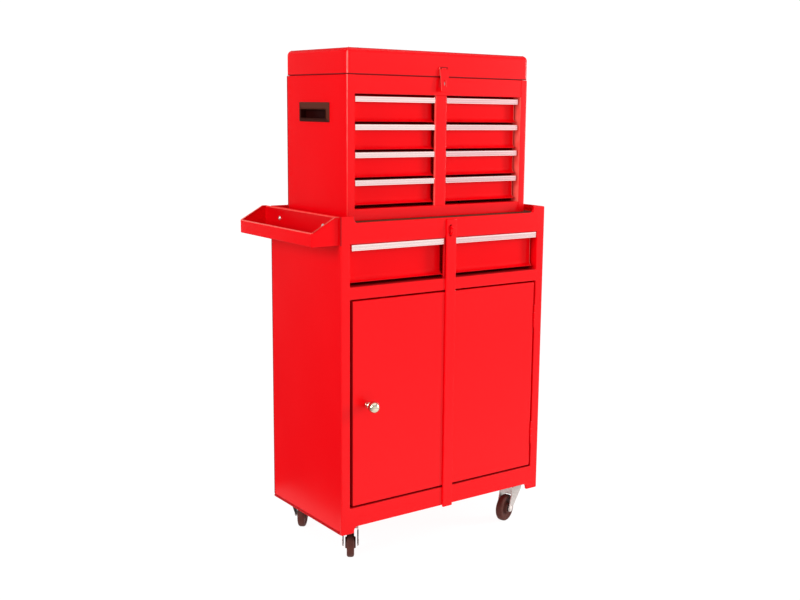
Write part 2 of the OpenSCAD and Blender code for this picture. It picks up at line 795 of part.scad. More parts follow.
module lock_bar() {
    back_y = -bar_back_gap;
    color(red) {
        difference() {
            block([-bar_w/2, -bar_proud, bar_foot_z], [bar_w/2, back_y, bar_top_z]);
            block([sheet_t - bar_w/2, sheet_t - bar_proud, bar_foot_z - cut],
                  [bar_w/2 - sheet_t, 0, bar_top_z + cut]);
            block([-bar_slot_w/2, -bar_proud - cut, bar_slot_z - bar_slot_h/2],
                  [bar_slot_w/2, 0, bar_slot_z + bar_slot_h/2]);
        }
        for (x = [-bar_w/2, bar_w/2 - sheet_t])
            block([x, back_y - sheet_t, door_z0], [x + sheet_t, door_setback, door_z1]);
    }
}

// Cabinet drawers

module base_drawer(c) {
    color(red) translate(base_drawer_at(c))
        drawer(base_drawer_w, base_front_h, base_drawer_d, base_side_h);
}

module base_pull(c) {
    color(aluminium) translate(base_drawer_at(c) - [c*pull_over, 0, 0])
        pull(base_drawer_w + pull_over, base_front_h, base_pull_h, pull_setback);
}

// Chest

module chest_wrap() {
    room = handle_wall + 2*pin_clear;
    color(red) difference() {
        wrap(chest_w, chest_y + sheet_t, chest_back_y, chest_z, chest_top_z);
        block([-chest_w, pocket_ys[0] - room, pocket_zs[0] - room],
              [chest_w, pocket_ys[1] + room, pocket_zs[1] + room]);
    }
}

module chest_front_frame() {
    color(red) {
        along_y(chest_y, sheet_t) difference() {
            translate([-chest_w/2, chest_z]) square([chest_w, chest_top_z - chest_z]);
            translate([-chest_open_x, chest_open_z]) square([2*chest_open_x, chest_open_h]);
        }
        opening_flange(chest_open_x, chest_y + sheet_t, chest_open_z, chest_open_top_z);
    }
}

module chest_post() {
    color(red) post(chest_y, chest_open_z, chest_open_top_z);
}

// A level panel inside the chest
module chest_panel(z) {
    block([sheet_t - chest_w/2, chest_y + sheet_t, z],
          [chest_w/2 - sheet_t, chest_back_y - sheet_t, z + sheet_t]);
}

module chest_floor() {
    color(red) chest_panel(chest_z);
}

module till_floor() {
    color(red) chest_panel(till_z);
}

module chest_runners() {
    color(red) for (m = [0, 1], r = [0:rows - 1]) mirror([m, 0, 0]) {
        z = chest_drawer_at(0, r)[2] - slide_clear;
        side_runner(-chest_open_x, chest_y + sheet_t + flange_d, chest_back_y - sheet_t, z);
        middle_runner(chest_y, chest_back_y - sheet_t, z);
    }
}

module chest_handles() {
    x = -chest_w/2;
    color(black) for (m = [0, 1]) mirror([m, 0, 0]) difference() {
        union() {
            block([x - handle_proud, handle_y, handle_z], [x, handle_y + handle_l, handle_z + handle_h]);
            block([x - eps, pocket_ys[0] - handle_wall, pocket_zs[0] - handle_wall],
                  [x + handle_depth, pocket_ys[1] + handle_wall, pocket_zs[1] + handle_wall]);
        }
        block([x - handle_proud - cut, pocket_ys[0], pocket_zs[0]],
              [x + handle_depth - handle_wall, pocket_ys[1], pocket_zs[1]]);
    }
}

module hasp_staple() {
    tip_r = hasp_staple_h/2;
    color(zinc) translate([hasp_staple_t/2, chest_y, hasp_staple_z]) rotate([0, -90, 0])
        linear_extrude(hasp_staple_t) difference() {
            union() {
                translate([-tip_r, tip_r - hasp_staple_reach])
                    square([hasp_staple_h, hasp_staple_reach - tip_r]);
                translate([0, tip_r - hasp_staple_reach]) intersection() {
                    circle(tip_r);
                    translate([-tip_r, -tip_r]) square([2*tip_r, tip_r + eps]);
                }
            }
            translate([0, hasp_eye_r + hasp_eye_wall - hasp_staple_reach]) circle(hasp_eye_r);
        }
}

// One leaf of the lid hinge; dir is -1 below the pin and 1 above it, and the leaf owns every second knuckle
module lid_leaf(dir, first) {
    plate = [lid_leaf_room, lid_leaf_room + lid_leaf_h];
    difference() {
        union() {
            block([-lid_hinge_l/2, chest_back_y, lid_axis_z + min(dir*plate[0], dir*plate[1])],
                  [lid_hinge_l/2, chest_back_y + leaf_t, lid_axis_z + max(dir*plate[0], dir*plate[1])]);
            for (k = [first:2:lid_knuckles - 1]) {
                x0 = -lid_hinge_l/2 + k*lid_seg + knuckle_gap/2;
                translate([0, lid_axis_y, lid_axis_z]) bar_x(lid_knuckle_r, x0, lid_seg - knuckle_gap);
                block([x0, chest_back_y, lid_axis_z + min(0, dir*(plate[0] + eps))],
                      [x0 + lid_seg - knuckle_gap, chest_back_y + leaf_t,
                       lid_axis_z + max(0, dir*(plate[0] + eps))]);
            }
        }
        translate([0, lid_axis_y, lid_axis_z])
            bar_x(lid_pin_r + pin_clear, -lid_hinge_l/2 - cut, lid_hinge_l + 2*cut);
    }
}

module lid_hinge_lower() {
    color(zinc) lid_leaf(-1, 0);
}

// Lid

// The lid's outer form, drawn in from its faces by a wall, with its top edges rounded
module lid_form(wall, z0) {
    r = lid_r - wall;
    top = lid_top_z - wall;
    intersection() {
        along_y(chest_y + wall, chest_d - 2*wall)
            lid_arch(-chest_w/2 + wall, chest_w/2 - wall, z0, top, r);
        along_x(-chest_w/2 + wall, chest_w - 2*wall)
            lid_arch(chest_y + wall, chest_back_y - wall, z0, top, r);
    }
}

// A flat arch between a0 and a1, from z0 up to the top, with both upper corners rounded
module lid_arch(a0, a1, z0, top, r) {
    translate([a0, z0]) square([a1 - a0, top - r - z0]);
    translate([a0 + r, z0]) square([a1 - a0 - 2*r, top - z0]);
    for (a = [a0 + r, a1 - r]) translate([a, top - r]) circle(r);
}

module lid() {
    color(red) difference() {
        lid_form(0, lid_z);
        lid_form(sheet_t, lid_z - cut);
    }
}

module lid_hinge_upper() {
    color(zinc) lid_leaf(1, 1);
}

module lid_hinge_pin() {
    color(zinc) translate([0, lid_axis_y, lid_axis_z]) bar_x(lid_pin_r, -lid_hinge_l/2, lid_hinge_l);
}

module hasp_bracket() {
    knuckle_l = hasp_w/2 - hasp_mid - knuckle_gap/2;
    color(red) {
        difference() {
            union() {
                block([-hasp_w/2, chest_y - leaf_t, hasp_axis_z - hasp_leaf_foot],
                      [hasp_w/2, chest_y, hasp_axis_z - hasp_knuckle_r - 2*knuckle_gap]);
                for (x = [-hasp_w/2, hasp_w/2 - knuckle_l]) {
                    translate([0, hasp_axis_y, hasp_axis_z]) bar_x(hasp_knuckle_r, x, knuckle_l);
                    block([x, chest_y - leaf_t, hasp_axis_z - hasp_knuckle_r - 2*knuckle_gap - eps],
                          [x + knuckle_l, chest_y, hasp_axis_z]);
                }
            }
            translate([0, hasp_axis_y, hasp_axis_z]) bar_x(hasp_pin_r + pin_clear, -hasp_w, 2*hasp_w);
        }
        translate([0, hasp_axis_y, hasp_axis_z]) bar_x(hasp_pin_r, -hasp_w/2, hasp_w);
    }
}

module hasp_plate() {
    mid_l = 2*hasp_mid - knuckle_gap;
    tip_r = 4;
    front = -hasp_knuckle_r;
    top = -hasp_knuckle_r - 2*knuckle_gap;
    color(red) translate([0, hasp_axis_y, hasp_axis_z]) rotate([-hasp_lean, 0, 0]) difference() {
        union() {
            along_y(front, hasp_t) difference() {
                union() {
                    translate([-hasp_w/2, tip_r - hasp_l]) square([hasp_w, hasp_l - tip_r + top]);
                    translate([tip_r - hasp_w/2, -hasp_l]) square([hasp_w - 2*tip_r, tip_r + eps]);
                    for (s = [-1, 1]) translate([s*(hasp_w/2 - tip_r), tip_r - hasp_l]) circle(tip_r);
                }
                translate([-hasp_slot_w/2, -hasp_staple_down - hasp_slot_h/2])
                    square([hasp_slot_w, hasp_slot_h]);
            }
            bar_x(hasp_knuckle_r, -mid_l/2, mid_l);
            block([-mid_l/2, front, top - eps], [mid_l/2, front + hasp_t, 0]);
        }
        bar_x(hasp_pin_r + pin_clear, -hasp_w, 2*hasp_w);
    }
}

// Chest drawers

module chest_drawer(c, r) {
    color(red) translate(chest_drawer_at(c, r))
        drawer(chest_drawer_w, chest_front_h, chest_drawer_d, chest_side_h);
}

module chest_pull(c, r) {
    color(aluminium) translate(chest_drawer_at(c, r) - [c*pull_over, 0, 0])
        pull(chest_drawer_w + pull_over, chest_front_h, chest_pull_h, chest_pull_setback);
}

// Moves the whole object so that its outer box stands over the origin
module placed() {
    translate([-mid_x, -mid_y, 0]) children();
}

placed() cabinet_wrap();
placed() cabinet_front_frame();
placed() cabinet_post();
placed() cabinet_floor();
placed() top_deck();
placed() deck_mat();
placed() drawer_deck();
placed() cabinet_runners();
placed() side_tray();
placed() tray_screws();
placed() bar_staple();
placed() frame_hinge_leaves();
placed() caster_plates();
placed() door_panel();
placed() door_hinge_leaves();
placed() door_hinge_pins();
placed() door_knob();
placed() lock_bar();
for (k = [0:3]) {
    placed() caster_fork(k);
    placed() caster_wheel(k);
}
for (c = [0, 1]) {
    placed() base_drawer(c);
    placed() base_pull(c);
    for (r = [0:rows - 1]) {
        placed() chest_drawer(c, r);
        placed() chest_pull(c, r);
    }
}
placed() chest_wrap();
placed() chest_front_frame();
placed() chest_post();
placed() chest_floor();
placed() till_floor();
placed() chest_runners();
placed() chest_handles();
placed() hasp_staple();
placed() lid_hinge_lower();
placed() lid();
placed() lid_hinge_upper();
placed() lid_hinge_pin();
placed() hasp_bracket();
placed() hasp_plate();
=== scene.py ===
import json
import math

import bmesh
import bpy
from mathutils import Matrix, Vector


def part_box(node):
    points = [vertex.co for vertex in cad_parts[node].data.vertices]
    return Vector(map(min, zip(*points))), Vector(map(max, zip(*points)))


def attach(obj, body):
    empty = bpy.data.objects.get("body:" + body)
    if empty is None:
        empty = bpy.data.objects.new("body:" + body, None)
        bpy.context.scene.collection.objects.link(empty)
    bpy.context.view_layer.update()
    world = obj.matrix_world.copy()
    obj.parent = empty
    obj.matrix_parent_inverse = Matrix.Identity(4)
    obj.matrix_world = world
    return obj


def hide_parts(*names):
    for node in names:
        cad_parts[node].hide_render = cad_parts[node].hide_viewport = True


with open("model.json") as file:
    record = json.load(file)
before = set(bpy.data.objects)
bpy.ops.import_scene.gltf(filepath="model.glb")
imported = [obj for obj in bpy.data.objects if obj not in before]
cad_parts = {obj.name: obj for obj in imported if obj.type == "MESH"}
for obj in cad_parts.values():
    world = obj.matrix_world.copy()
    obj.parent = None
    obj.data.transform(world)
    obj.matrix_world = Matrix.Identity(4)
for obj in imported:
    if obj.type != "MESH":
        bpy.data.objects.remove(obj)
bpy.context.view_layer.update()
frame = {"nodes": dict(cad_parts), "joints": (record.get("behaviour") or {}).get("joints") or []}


# Cabinet shell: one steel sheet folded round the left side, the back and the right side, and powder
# coated red. Its top edge is hemmed inwards, a bead runs along its foot, and its front edges are spot
# welded behind the front frame. Meshes are drawn in millimetres, and a sheet is drawn as its outer face.
MM = 0.001
SHEET = 1.0
BEND_STEPS = 5
shell_bend = 3.0
hem_r = 1.2
hem_drop = 9.0
foot_fold = 8.0
bead_up = 5.6
bead_h = 1.6
bead_deep = 0.9
back_fold = 6.0
seam = 0.05
frame_return = 6.0
back_edge_shade = -0.65
foot_shade = -0.5


def linear(hex_colour):
    """An sRGB hex colour as the linear colour that a shader takes."""
    channels = [int(hex_colour[k:k + 2], 16) / 255 for k in (1, 3, 5)]
    return [c / 12.92 if c <= 0.04045 else ((c + 0.055) / 1.055) ** 2.4 for c in channels] + [1.0]


def add_node(material, kind, inputs, **settings):
    """Adds a node to a material, with its settings, and sets or links its inputs."""
    node = material.node_tree.nodes.new(kind)
    for name, value in settings.items():
        setattr(node, name, value)
    for name, value in inputs.items():
        if isinstance(value, bpy.types.NodeSocket):
            material.node_tree.links.new(value, node.inputs[name])
        else:
            node.inputs[name].default_value = value
    return node


def finish_of(name, **sockets):
    """A new material with its shader's own sockets set, its shader, and where a point lies on its piece."""
    material = bpy.data.materials.new(name)
    material.use_nodes = True
    shader = material.node_tree.nodes["Principled BSDF"]
    for socket, value in sockets.items():
        shader.inputs[socket.replace("_", " ")].default_value = value
    spot = add_node(material, "ShaderNodeTexCoord", {}).outputs["Object"]
    return material, shader, spot


def link(material, source, shader, socket):
    """Joins a node's output to one of the shader's sockets."""
    material.node_tree.links.new(source, shader.inputs[socket])


# Powder coat, sprayed and baked: an even red with a faint ripple, glossy on most pieces and more satin on
# the shells, the tray, the drawers and the dust lip. Marked faces carry painted light: a pale painted
# highlight along bends and edges, and a dark, duller painted shade in gaps, recesses and along some edges.
# The ripple is 1 mm, and is drawn at 3 mm so that it shows.
peel_size = 3.0
cloud_size = 160.0
highlight_patch_size = 18.0
painted_shade_dull = 0.6


def powder_coat(name, shine):
    """A red powder coat with a strength of reflection."""
    made, coat, spot = finish_of(name, Specular_IOR_Level=shine)
    cloud = add_node(made, "ShaderNodeTexNoise",
                     {"Vector": spot, "Scale": 1 / (cloud_size * MM), "Detail": 3}).outputs["Fac"]
    tint = add_node(made, "ShaderNodeMix", {0: cloud, 6: linear("#e4020c"), 7: linear("#ec030e")},
                    data_type="RGBA")
    patches = add_node(made, "ShaderNodeTexNoise",
                       {"Vector": spot, "Scale": 1 / (highlight_patch_size * MM), "Detail": 4})
    patchy = add_node(made, "ShaderNodeMapRange", {"Value": patches.outputs["Fac"], "From Min": 0.3,
                                                   "From Max": 0.6, "To Min": 0.6, "To Max": 1.0})
    # The attribute read here carries painted light. Above zero it mixes in the pale painted highlight, in
    # patches. Below zero it mixes in the dark painted shade, which is also rougher.
    painted_light = add_node(made, "ShaderNodeAttribute", {}, attribute_name="painted_light").outputs["Fac"]
    painted_light_share = add_node(made, "ShaderNodeMath", {0: painted_light, 1: patchy.outputs["Result"]},
                      operation="MULTIPLY", use_clamp=True)
    painted_highlight = add_node(made, "ShaderNodeMix",
                    {0: painted_light_share.outputs["Value"], 6: tint.outputs[2], 7: linear("#ff9384")},
                    data_type="RGBA")
    painted_shade = add_node(made, "ShaderNodeMapRange",
                      {"Value": painted_light, "From Min": 0.0, "From Max": -1.0}).outputs["Result"]
    deep = add_node(made, "ShaderNodeMix", {0: painted_shade, 6: painted_highlight.outputs[2], 7: linear("#5a0204")},
                    data_type="RGBA")
    link(made, deep.outputs[2], coat, "Base Color")
    gloss = add_node(made, "ShaderNodeMapRange", {"Value": cloud, "To Min": 0.18, "To Max": 0.26})
    dulled = add_node(made, "ShaderNodeMath", {0: painted_shade, 1: painted_shade_dull, 2: gloss.outputs["Result"]},
                      operation="MULTIPLY_ADD", use_clamp=True)
    link(made, dulled.outputs["Value"], coat, "Roughness")
    peel = add_node(made, "ShaderNodeTexNoise",
                    {"Vector": spot, "Scale": 1 / (peel_size * MM), "Detail": 1})
    ripple = add_node(made, "ShaderNodeBump",
                      {"Height": peel.outputs["Fac"], "Strength": 0.06, "Distance": 0.2 * MM})
    link(made, ripple.outputs["Normal"], coat, "Normal")
    return made


red_coat = powder_coat("powder_coat_red_gloss", shine=0.17)
satin_coat = powder_coat("powder_coat_red_satin", shine=0.09)


def extent(node):
    """Lowest and highest corner of a CAD node, in millimetres."""
    low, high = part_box(node)
    return low / MM, high / MM


def angles(turn, steps=BEND_STEPS):
    """Angles from zero to a turn, in even steps."""
    return [turn * k / steps for k in range(steps + 1)]


def turned(corners, closed=False):
    """A line through corners of (across, up, bend radius), with each bend drawn as an arc."""
    line = []
    count = len(corners)
    for k, (across, up, radius) in enumerate(corners):
        corner = Vector((across, up))
        if radius == 0 or (not closed and k in (0, count - 1)):
            line.append(corner)
            continue
        to_last = (Vector(corners[k - 1][:2]) - corner).normalized()
        to_next = (Vector(corners[(k + 1) % count][:2]) - corner).normalized()
        half = to_last.angle(to_next) / 2
        centre = corner + (to_last + to_next).normalized() * radius / math.sin(half)
        spoke = corner + to_last * radius / math.tan(half) - centre
        turn = math.copysign(math.pi - 2 * half, -to_last.cross(to_next))
        line += [centre + Matrix.Rotation(a, 2) @ spoke for a in angles(turn)]
    return line


def rail(bm, path, section, place=Matrix(), closed=False):
    """Draws a section, pairs of offset and depth, along a path, and gives back its lines of vertices.
    Offsets go to the right of the path, and the face looks there."""
    count = len(path)
    rights = []
    for k in range(count):
        runs = []
        if closed or k > 0:
            runs.append((path[k] - path[k - 1]).normalized())
        if closed or k < count - 1:
            runs.append((path[(k + 1) % count] - path[k]).normalized())
        sides = [Vector((run.y, -run.x)) for run in runs]
        rights.append((sides[0] + sides[-1]) / (1 + sides[0].dot(sides[-1])))
    lines = [[bm.verts.new(place @ Vector((*(p + r * offset), depth))) for p, r in zip(path, rights)]
             for offset, depth in section]
    for first, second in zip(lines, lines[1:]):
        for k in range(count if closed else count - 1):
            j = (k + 1) % count
            quad = [first[k], first[j], second[j], second[k]]
            bm.faces.new(quad if place.determinant() > 0 else quad[::-1])
    return lines


def round_edges(made, width):
    """Gives an object's sharp edges a small round, and shades it by its larger faces."""
    if width:
        rounding = made.modifiers.new("edges", "BEVEL")
        rounding.width = width * MM
        rounding.segments = 2
        rounding.limit_method = "ANGLE"
        rounding.angle_limit = math.radians(40)
    made.modifiers.new("shading", "WEIGHTED_NORMAL").keep_sharp = True


def piece(name, bm, material, body, nodes=(), sheet=0.0, edge=0.3):
    """Makes a piece of a mesh, gives its sheet a thickness and its edges a small round, and fixes it to
    its body."""
    if not sheet:
        bmesh.ops.recalc_face_normals(bm, faces=bm.faces)
    for face in bm.faces:
        face.smooth = True
    mesh = bpy.data.meshes.new(name)
    bm.to_mesh(mesh)
    bm.free()
    mesh.transform(Matrix.Scale(MM, 4))
    mesh.materials.append(material)
    made = bpy.data.objects.new(name, mesh)
    bpy.context.scene.collection.objects.link(made)
    if sheet:
        thick = made.modifiers.new("sheet", "SOLIDIFY")
        thick.thickness = sheet * MM
        thick.offset = -1
        thick.use_even_offset = True
    round_edges(made, edge)
    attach(made, body)
    if nodes:
        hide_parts(*nodes)


def paint_light(bm, share, near):
    """Marks the faces that near() picks with a share of painted highlight, or painted shade below zero."""
    layer = bm.faces.layers.float.get("painted_light") or bm.faces.layers.float.new("painted_light")
    bm.normal_update()
    for face in bm.faces:
        if near(face.calc_center_median(), face.normal):
            face[layer] = share


def shell(name, node, front_y, body, bead=False, hole=None):
    """A sheet folded round three sides, hemmed along its top and folded in along its foot. A hole of
    (front, back, foot, head) is cut in both sides."""
    low, high = extent(node)
    bm = bmesh.new()
    cuts = [(y, 0) for y in hole[:2]] if hole else []
    cuts.append((high.y - back_fold, 0))
    path = turned([(high.x, front_y, 0)] + [(high.x, *cut) for cut in cuts]
                  + [(high.x, high.y, shell_bend), (low.x, high.y, shell_bend)]
                  + [(low.x, *cut) for cut in cuts[::-1]] + [(low.x, front_y, 0)])
    foot = [(-hem_r * (1 - math.sin(a)), low.z + hem_r * (1 - math.cos(a))) for a in angles(math.pi / 2)]
    groove = []
    if bead:
        at = low.z + bead_up
        groove = [(0, at - bead_h), (-bead_deep, at - bead_h / 2), (-bead_deep, at + bead_h / 2),
                  (0, at + bead_h)]
    hem = [(hem_r * (math.cos(a) - 1), high.z - hem_r * (1 - math.sin(a))) for a in angles(math.pi)]
    levels = [(0, z) for z in hole[2:]] if hole else []
    rail(bm, path, [(-foot_fold, low.z)] + foot + groove + levels + hem + [(-2 * hem_r, high.z - hem_drop)])
    if hole:
        opened = [face for face in bm.faces for spot in [face.calc_center_median()]
                  if hole[0] < spot.y < hole[1] and hole[2] < spot.z < hole[3]]
        bmesh.ops.delete(bm, geom=opened, context="FACES")
    # Painted shade: a dark strip along the back bend of each side, and with a bead a dark band along the
    # foot up to the top of the bead.
    paint_light(bm, back_edge_shade, lambda spot, facing: spot.y > high.y - back_fold and abs(facing.x) > 0.5)
    if bead:
        paint_light(bm, foot_shade, lambda spot, facing: spot.z < low.z + bead_up + bead_h)
    piece(name, bm, satin_coat, body, [node], SHEET)


front_low, front_high = extent("cabinet_front_frame")
shell("cabinet_shell", "cabinet_wrap", front_low.y + frame_return + seam, "cabinet", bead=True)


# Cabinet front: a pressed steel frame with one opening for the drawers and one for the door. Its edges
# are folded back all round, and its four corners stand above the top rail and below the bottom rail.
front_bend = 2.0
flange_bend = 1.5
corner_w = 30.0
corner_rise = 13.0
step_r = 9.0
tip_r = 2.5
hinge_gap = 4.0
free_gap = 6.0
door_gap_z = 3.5
return_shade = -0.6
bend_shade = -0.7
sill_shade = -0.55
to_front = Matrix(((1, 0, 0, 0), (0, 0, 1, 0), (0, 1, 0, 0), (0, 0, 0, 1)))
forwards = Vector((0, -1, 0))


def folded_edge(radius, depth):
    """Section of an edge folded back from a face: offsets from the edge, and depths behind the face."""
    bend = [(-radius * (1 - math.sin(a)), radius * (1 - math.cos(a))) for a in angles(math.pi / 2)]
    return bend + [(0, depth)]


def fill(bm, facing, *loops):
    """Fills the flat inside the first loop of vertices, and leaves the other loops open."""
    edges = [bm.edges.get(pair) or bm.edges.new(pair)
             for loop in loops for pair in zip(loop, loop[1:] + loop[:1])]
    for face in bmesh.ops.triangle_fill(bm, use_beauty=True, edges=edges)["geom"]:
        if isinstance(face, bmesh.types.BMFace):
            face.normal_update()
            if face.normal.dot(facing) < 0:
                face.normal_flip()


def oblong(x0, x1, z0, z1, radius):
    """A rounded oblong as a closed line, anticlockwise."""
    return turned([(x0, z0, radius), (x1, z0, radius), (x1, z1, radius), (x0, z1, radius)], closed=True)


door_low, door_high = extent("door_panel")
post_low, post_high = extent("cabinet_post")
open_x0, open_x1 = door_low.x - free_gap, door_high.x + hinge_gap
left, right, foot_z, head_z = front_low.x, front_high.x, front_low.z, front_high.z
tray_foot = extent("side_tray")[0].z
step_x0, step_x1 = left + corner_w, right - corner_w
step_z0, step_z1 = foot_z + corner_rise, head_z - corner_rise
outline = turned([
    (left, foot_z, tip_r), (step_x0, foot_z, tip_r), (step_x0, step_z0, step_r),
    (step_x1, step_z0, step_r), (step_x1, foot_z, tip_r), (right, foot_z, tip_r),
    (right, head_z, tip_r), (step_x1, head_z, tip_r), (step_x1, step_z1, step_r),
    (step_x0, step_z1, step_r), (step_x0, head_z, tip_r), (left, head_z, tip_r),
    (left, tray_foot, 0)], closed=True)
bm = bmesh.new()
at_front = Matrix.Translation((0, front_low.y, 0)) @ to_front
rims = [rail(bm, outline, folded_edge(front_bend, frame_return), at_front, closed=True)[0]]
for z0, z1 in ((post_low.z, post_high.z), (door_low.z - door_gap_z, door_high.z + door_gap_z)):
    opening = oblong(open_x0, open_x1, z0, z1, flange_bend)[::-1]
    flange = folded_edge(flange_bend, front_high.y - front_low.y)
    rims.append(rail(bm, opening, flange, at_front, closed=True)[0])
fill(bm, forwards, *rims)
# Painted shade on the left return beside the tray, on the right edge's fold, on the upper left corner step
# and on the upward faces of the openings' lower edges.
paint_light(bm, return_shade, lambda spot, facing: facing.x < -0.5 and spot.x < left + front_bend
    and spot.z > tray_foot)
paint_light(bm, bend_shade, lambda spot, facing: spot.x > right - front_bend and facing.x > 0.05)
paint_light(bm, return_shade, lambda spot, facing: facing.x > 0.15 and spot.x < step_x0 + step_r
    and spot.z > step_z1 - front_bend)
paint_light(bm, sill_shade, lambda spot, facing: step_x0 < spot.x < step_x1 and facing.z > 0.7
    and spot.z < post_low.z + flange_bend)
piece("cabinet_front", bm, red_coat, "cabinet", ["cabinet_front_frame"], SHEET)


# Posts: folded steel channels, open to the back, welded between the rails in the middle of each drawer
# opening. The cabinet has one, and the chest another like it.
post_bend = 1.5


def post(name, node, body, share, inset):
    """A channel with its face to the front and its two sides folded back. Its left side carries a share of
    painted highlight, or of painted shade below zero, and is set in."""
    low, high = extent(node)
    bm = bmesh.new()
    left = low.x + inset
    path = turned([(left, high.y, 0), (left, low.y, post_bend), (high.x, low.y, post_bend),
                   (high.x, high.y, 0)])
    rail(bm, path, [(0, low.z), (0, high.z)])
    paint_light(bm, share, lambda spot, facing: facing.x < -0.2)
    piece(name, bm, red_coat, body, [node], SHEET)


# Painted shade on the left side of the cabinet's post.
post("cabinet_middle_post", "cabinet_post", "cabinet", share=-0.25, inset=3.5)


# Level panels: flat red sheets welded into the cabinet as its floor, the deck under its drawers and the
# top deck that the chest stands on. Their solids are plain sheet, as the real ones are.
def dress(material, *nodes):
    """Gives CAD nodes whose shape is right their finish."""
    for node in nodes:
        frame["nodes"][node].material_slots[0].material = material


dress(red_coat, "cabinet_floor", "top_deck", "drawer_deck")


# Deck mat: a moulded rubber sheet with fine ribs, laid loose on the top deck so that the chest doesn't
# scratch it. It is brown and matt, with a patchy film of dust.
rib_pitch = 4.0
rib_deep = 0.7
rib_flat = 0.6
grain_size = 1.5
dust_size = 30.0
mat_rubber, rubber, spot = finish_of("ribbed_rubber_mat", Roughness=0.8, Specular_IOR_Level=0.1)
dust = add_node(mat_rubber, "ShaderNodeTexNoise",
                {"Vector": spot, "Scale": 1 / (dust_size * MM), "Detail": 6})
tint = add_node(mat_rubber, "ShaderNodeMix",
                {0: dust.outputs["Fac"], 6: linear("#55281a"), 7: linear("#6b3826")}, data_type="RGBA")
link(mat_rubber, tint.outputs[2], rubber, "Base Color")
grain = add_node(mat_rubber, "ShaderNodeTexNoise",
                 {"Vector": spot, "Scale": 1 / (grain_size * MM), "Detail": 2})
rough = add_node(mat_rubber, "ShaderNodeBump",
                 {"Height": grain.outputs["Fac"], "Strength": 0.3, "Distance": 0.2 * MM})
link(mat_rubber, rough.outputs["Normal"], rubber, "Normal")
along_x = Matrix(((0, 0, 1, 0), (1, 0, 0, 0), (0, 1, 0, 0), (0, 0, 0, 1)))


def bar(bm, outline, place, start, end):
    """A solid of one closed outline, from a start to an end along its own depth."""
    lines = rail(bm, outline, [(0, start), (0, end)], place, closed=True)
    for line in lines:
        bm.faces.new(line)


low, high = extent("deck_mat")
ribs = round((high.y - low.y) / rib_pitch)
ribbed = [Vector((low.y, low.z)), Vector((high.y, low.z))]
for k in range(ribs):
    crest = high.y - (k + 0.5) * (high.y - low.y) / ribs
    for reach, drop in ((rib_pitch / 2, rib_deep), (rib_flat, 0), (-rib_flat, 0)):
        ribbed.append(Vector((crest + reach, high.z - drop)))
ribbed.append(Vector((low.y, high.z - rib_deep)))
bm = bmesh.new()
bar(bm, ribbed, along_x, low.x, high.x)
piece("deck_rubber_mat", bm, mat_rubber, "cabinet", ["deck_mat"], edge=0)


# Drawer runners: angles and flat strips of the same sheet, welded between the front frame or the posts and
# the back, and coated with the rest. The drawers slide on them.
dress(red_coat, "cabinet_runners", "chest_runners")


# Side tray: an open steel box folded from one sheet, screwed to the cabinet's left side. Its ends slope
# down from the tall back wall to the low outer wall, whose top edge is rolled over. The other top edges are
# hemmed. The top edges carry a painted highlight, and the inside carries a painted shade.
tray_bend = 2.0
tray_outer_h = 27.0
tray_flat = 10.0
tray_roll = 2.5
roll_proud = 0.5
roll_bend = 0.99 * tray_roll
hem_w = 2.6
end_hem_h = 0.25
back_hem_t = 0.6
back_hem_lap = 0.1
tray_inside_shade = -0.22
tray_end_shade = -0.1
crest_highlight = 0.7
hem_highlight = 0.3
low, high = extent("side_tray")
bm = bmesh.new()
slope_x = high.x - tray_flat
plan = turned([(low.x, low.y, tray_bend), (slope_x, low.y, 0), (high.x, low.y, tray_bend),
               (high.x, high.y, tray_bend), (slope_x, high.y, 0), (low.x, high.y, tray_bend)], closed=True)
walls = [(offset, low.z + up) for offset, up in folded_edge(tray_bend, tray_outer_h)]
lines = rail(bm, plan, walls, closed=True)
fill(bm, Vector((0, 0, -1)), lines[0])
slope = (high.z - low.z - tray_outer_h) / (slope_x - low.x)
for vert in lines[-1]:
    vert.co.z += slope * (min(vert.co.x, slope_x) - low.x)
roll_x, roll_z = low.x - roll_proud, low.z + tray_outer_h + roll_proud
roll_end, roll_foot = roll_x + 2 * tray_roll, roll_z - 2 * tray_roll
fold = turned([(roll_end, roll_foot, 0), (roll_end, roll_z, roll_bend), (roll_x, roll_z, roll_bend),
               (roll_x, roll_foot, 0)])
rail(bm, fold, [(0, low.y + tray_bend), (0, high.y - tray_bend)], to_front)
crest = [Vector((high.x - SHEET, high.z)), Vector((slope_x, high.z)),
         Vector((low.x + SHEET, low.z + tray_outer_h))]
for end_y in (low.y, high.y - hem_w):
    rail(bm, crest, [(end_hem_h, end_y), (end_hem_h, end_y + hem_w)], to_front)
hem_x = high.x - SHEET - back_hem_lap
back_hem = [Vector((hem_x, high.z + back_hem_lap)), Vector((hem_x, high.z - hem_w))]
rail(bm, back_hem, [(back_hem_t, low.y + tray_bend), (back_hem_t, high.y - tray_bend)], to_front)
# Painted shade inside and underneath, and a little on faces that look back; painted highlight on the upward
# faces of the rolled edge and the end hems, and along the top of the back wall's inner face.
paint_light(bm, tray_inside_shade, lambda spot, facing: facing.x > 0.9 or facing.z < -0.9)
paint_light(bm, tray_end_shade, lambda spot, facing: facing.y > 0.9)
paint_light(bm, crest_highlight, lambda spot, facing: facing.z > 0.35 and spot.z > low.z + tray_outer_h - tray_roll)
paint_light(bm, hem_highlight, lambda spot, facing: facing.x < -0.9 and spot.z > high.z - hem_w)
piece("screwed_side_tray", bm, satin_coat, "cabinet", ["side_tray"], SHEET)


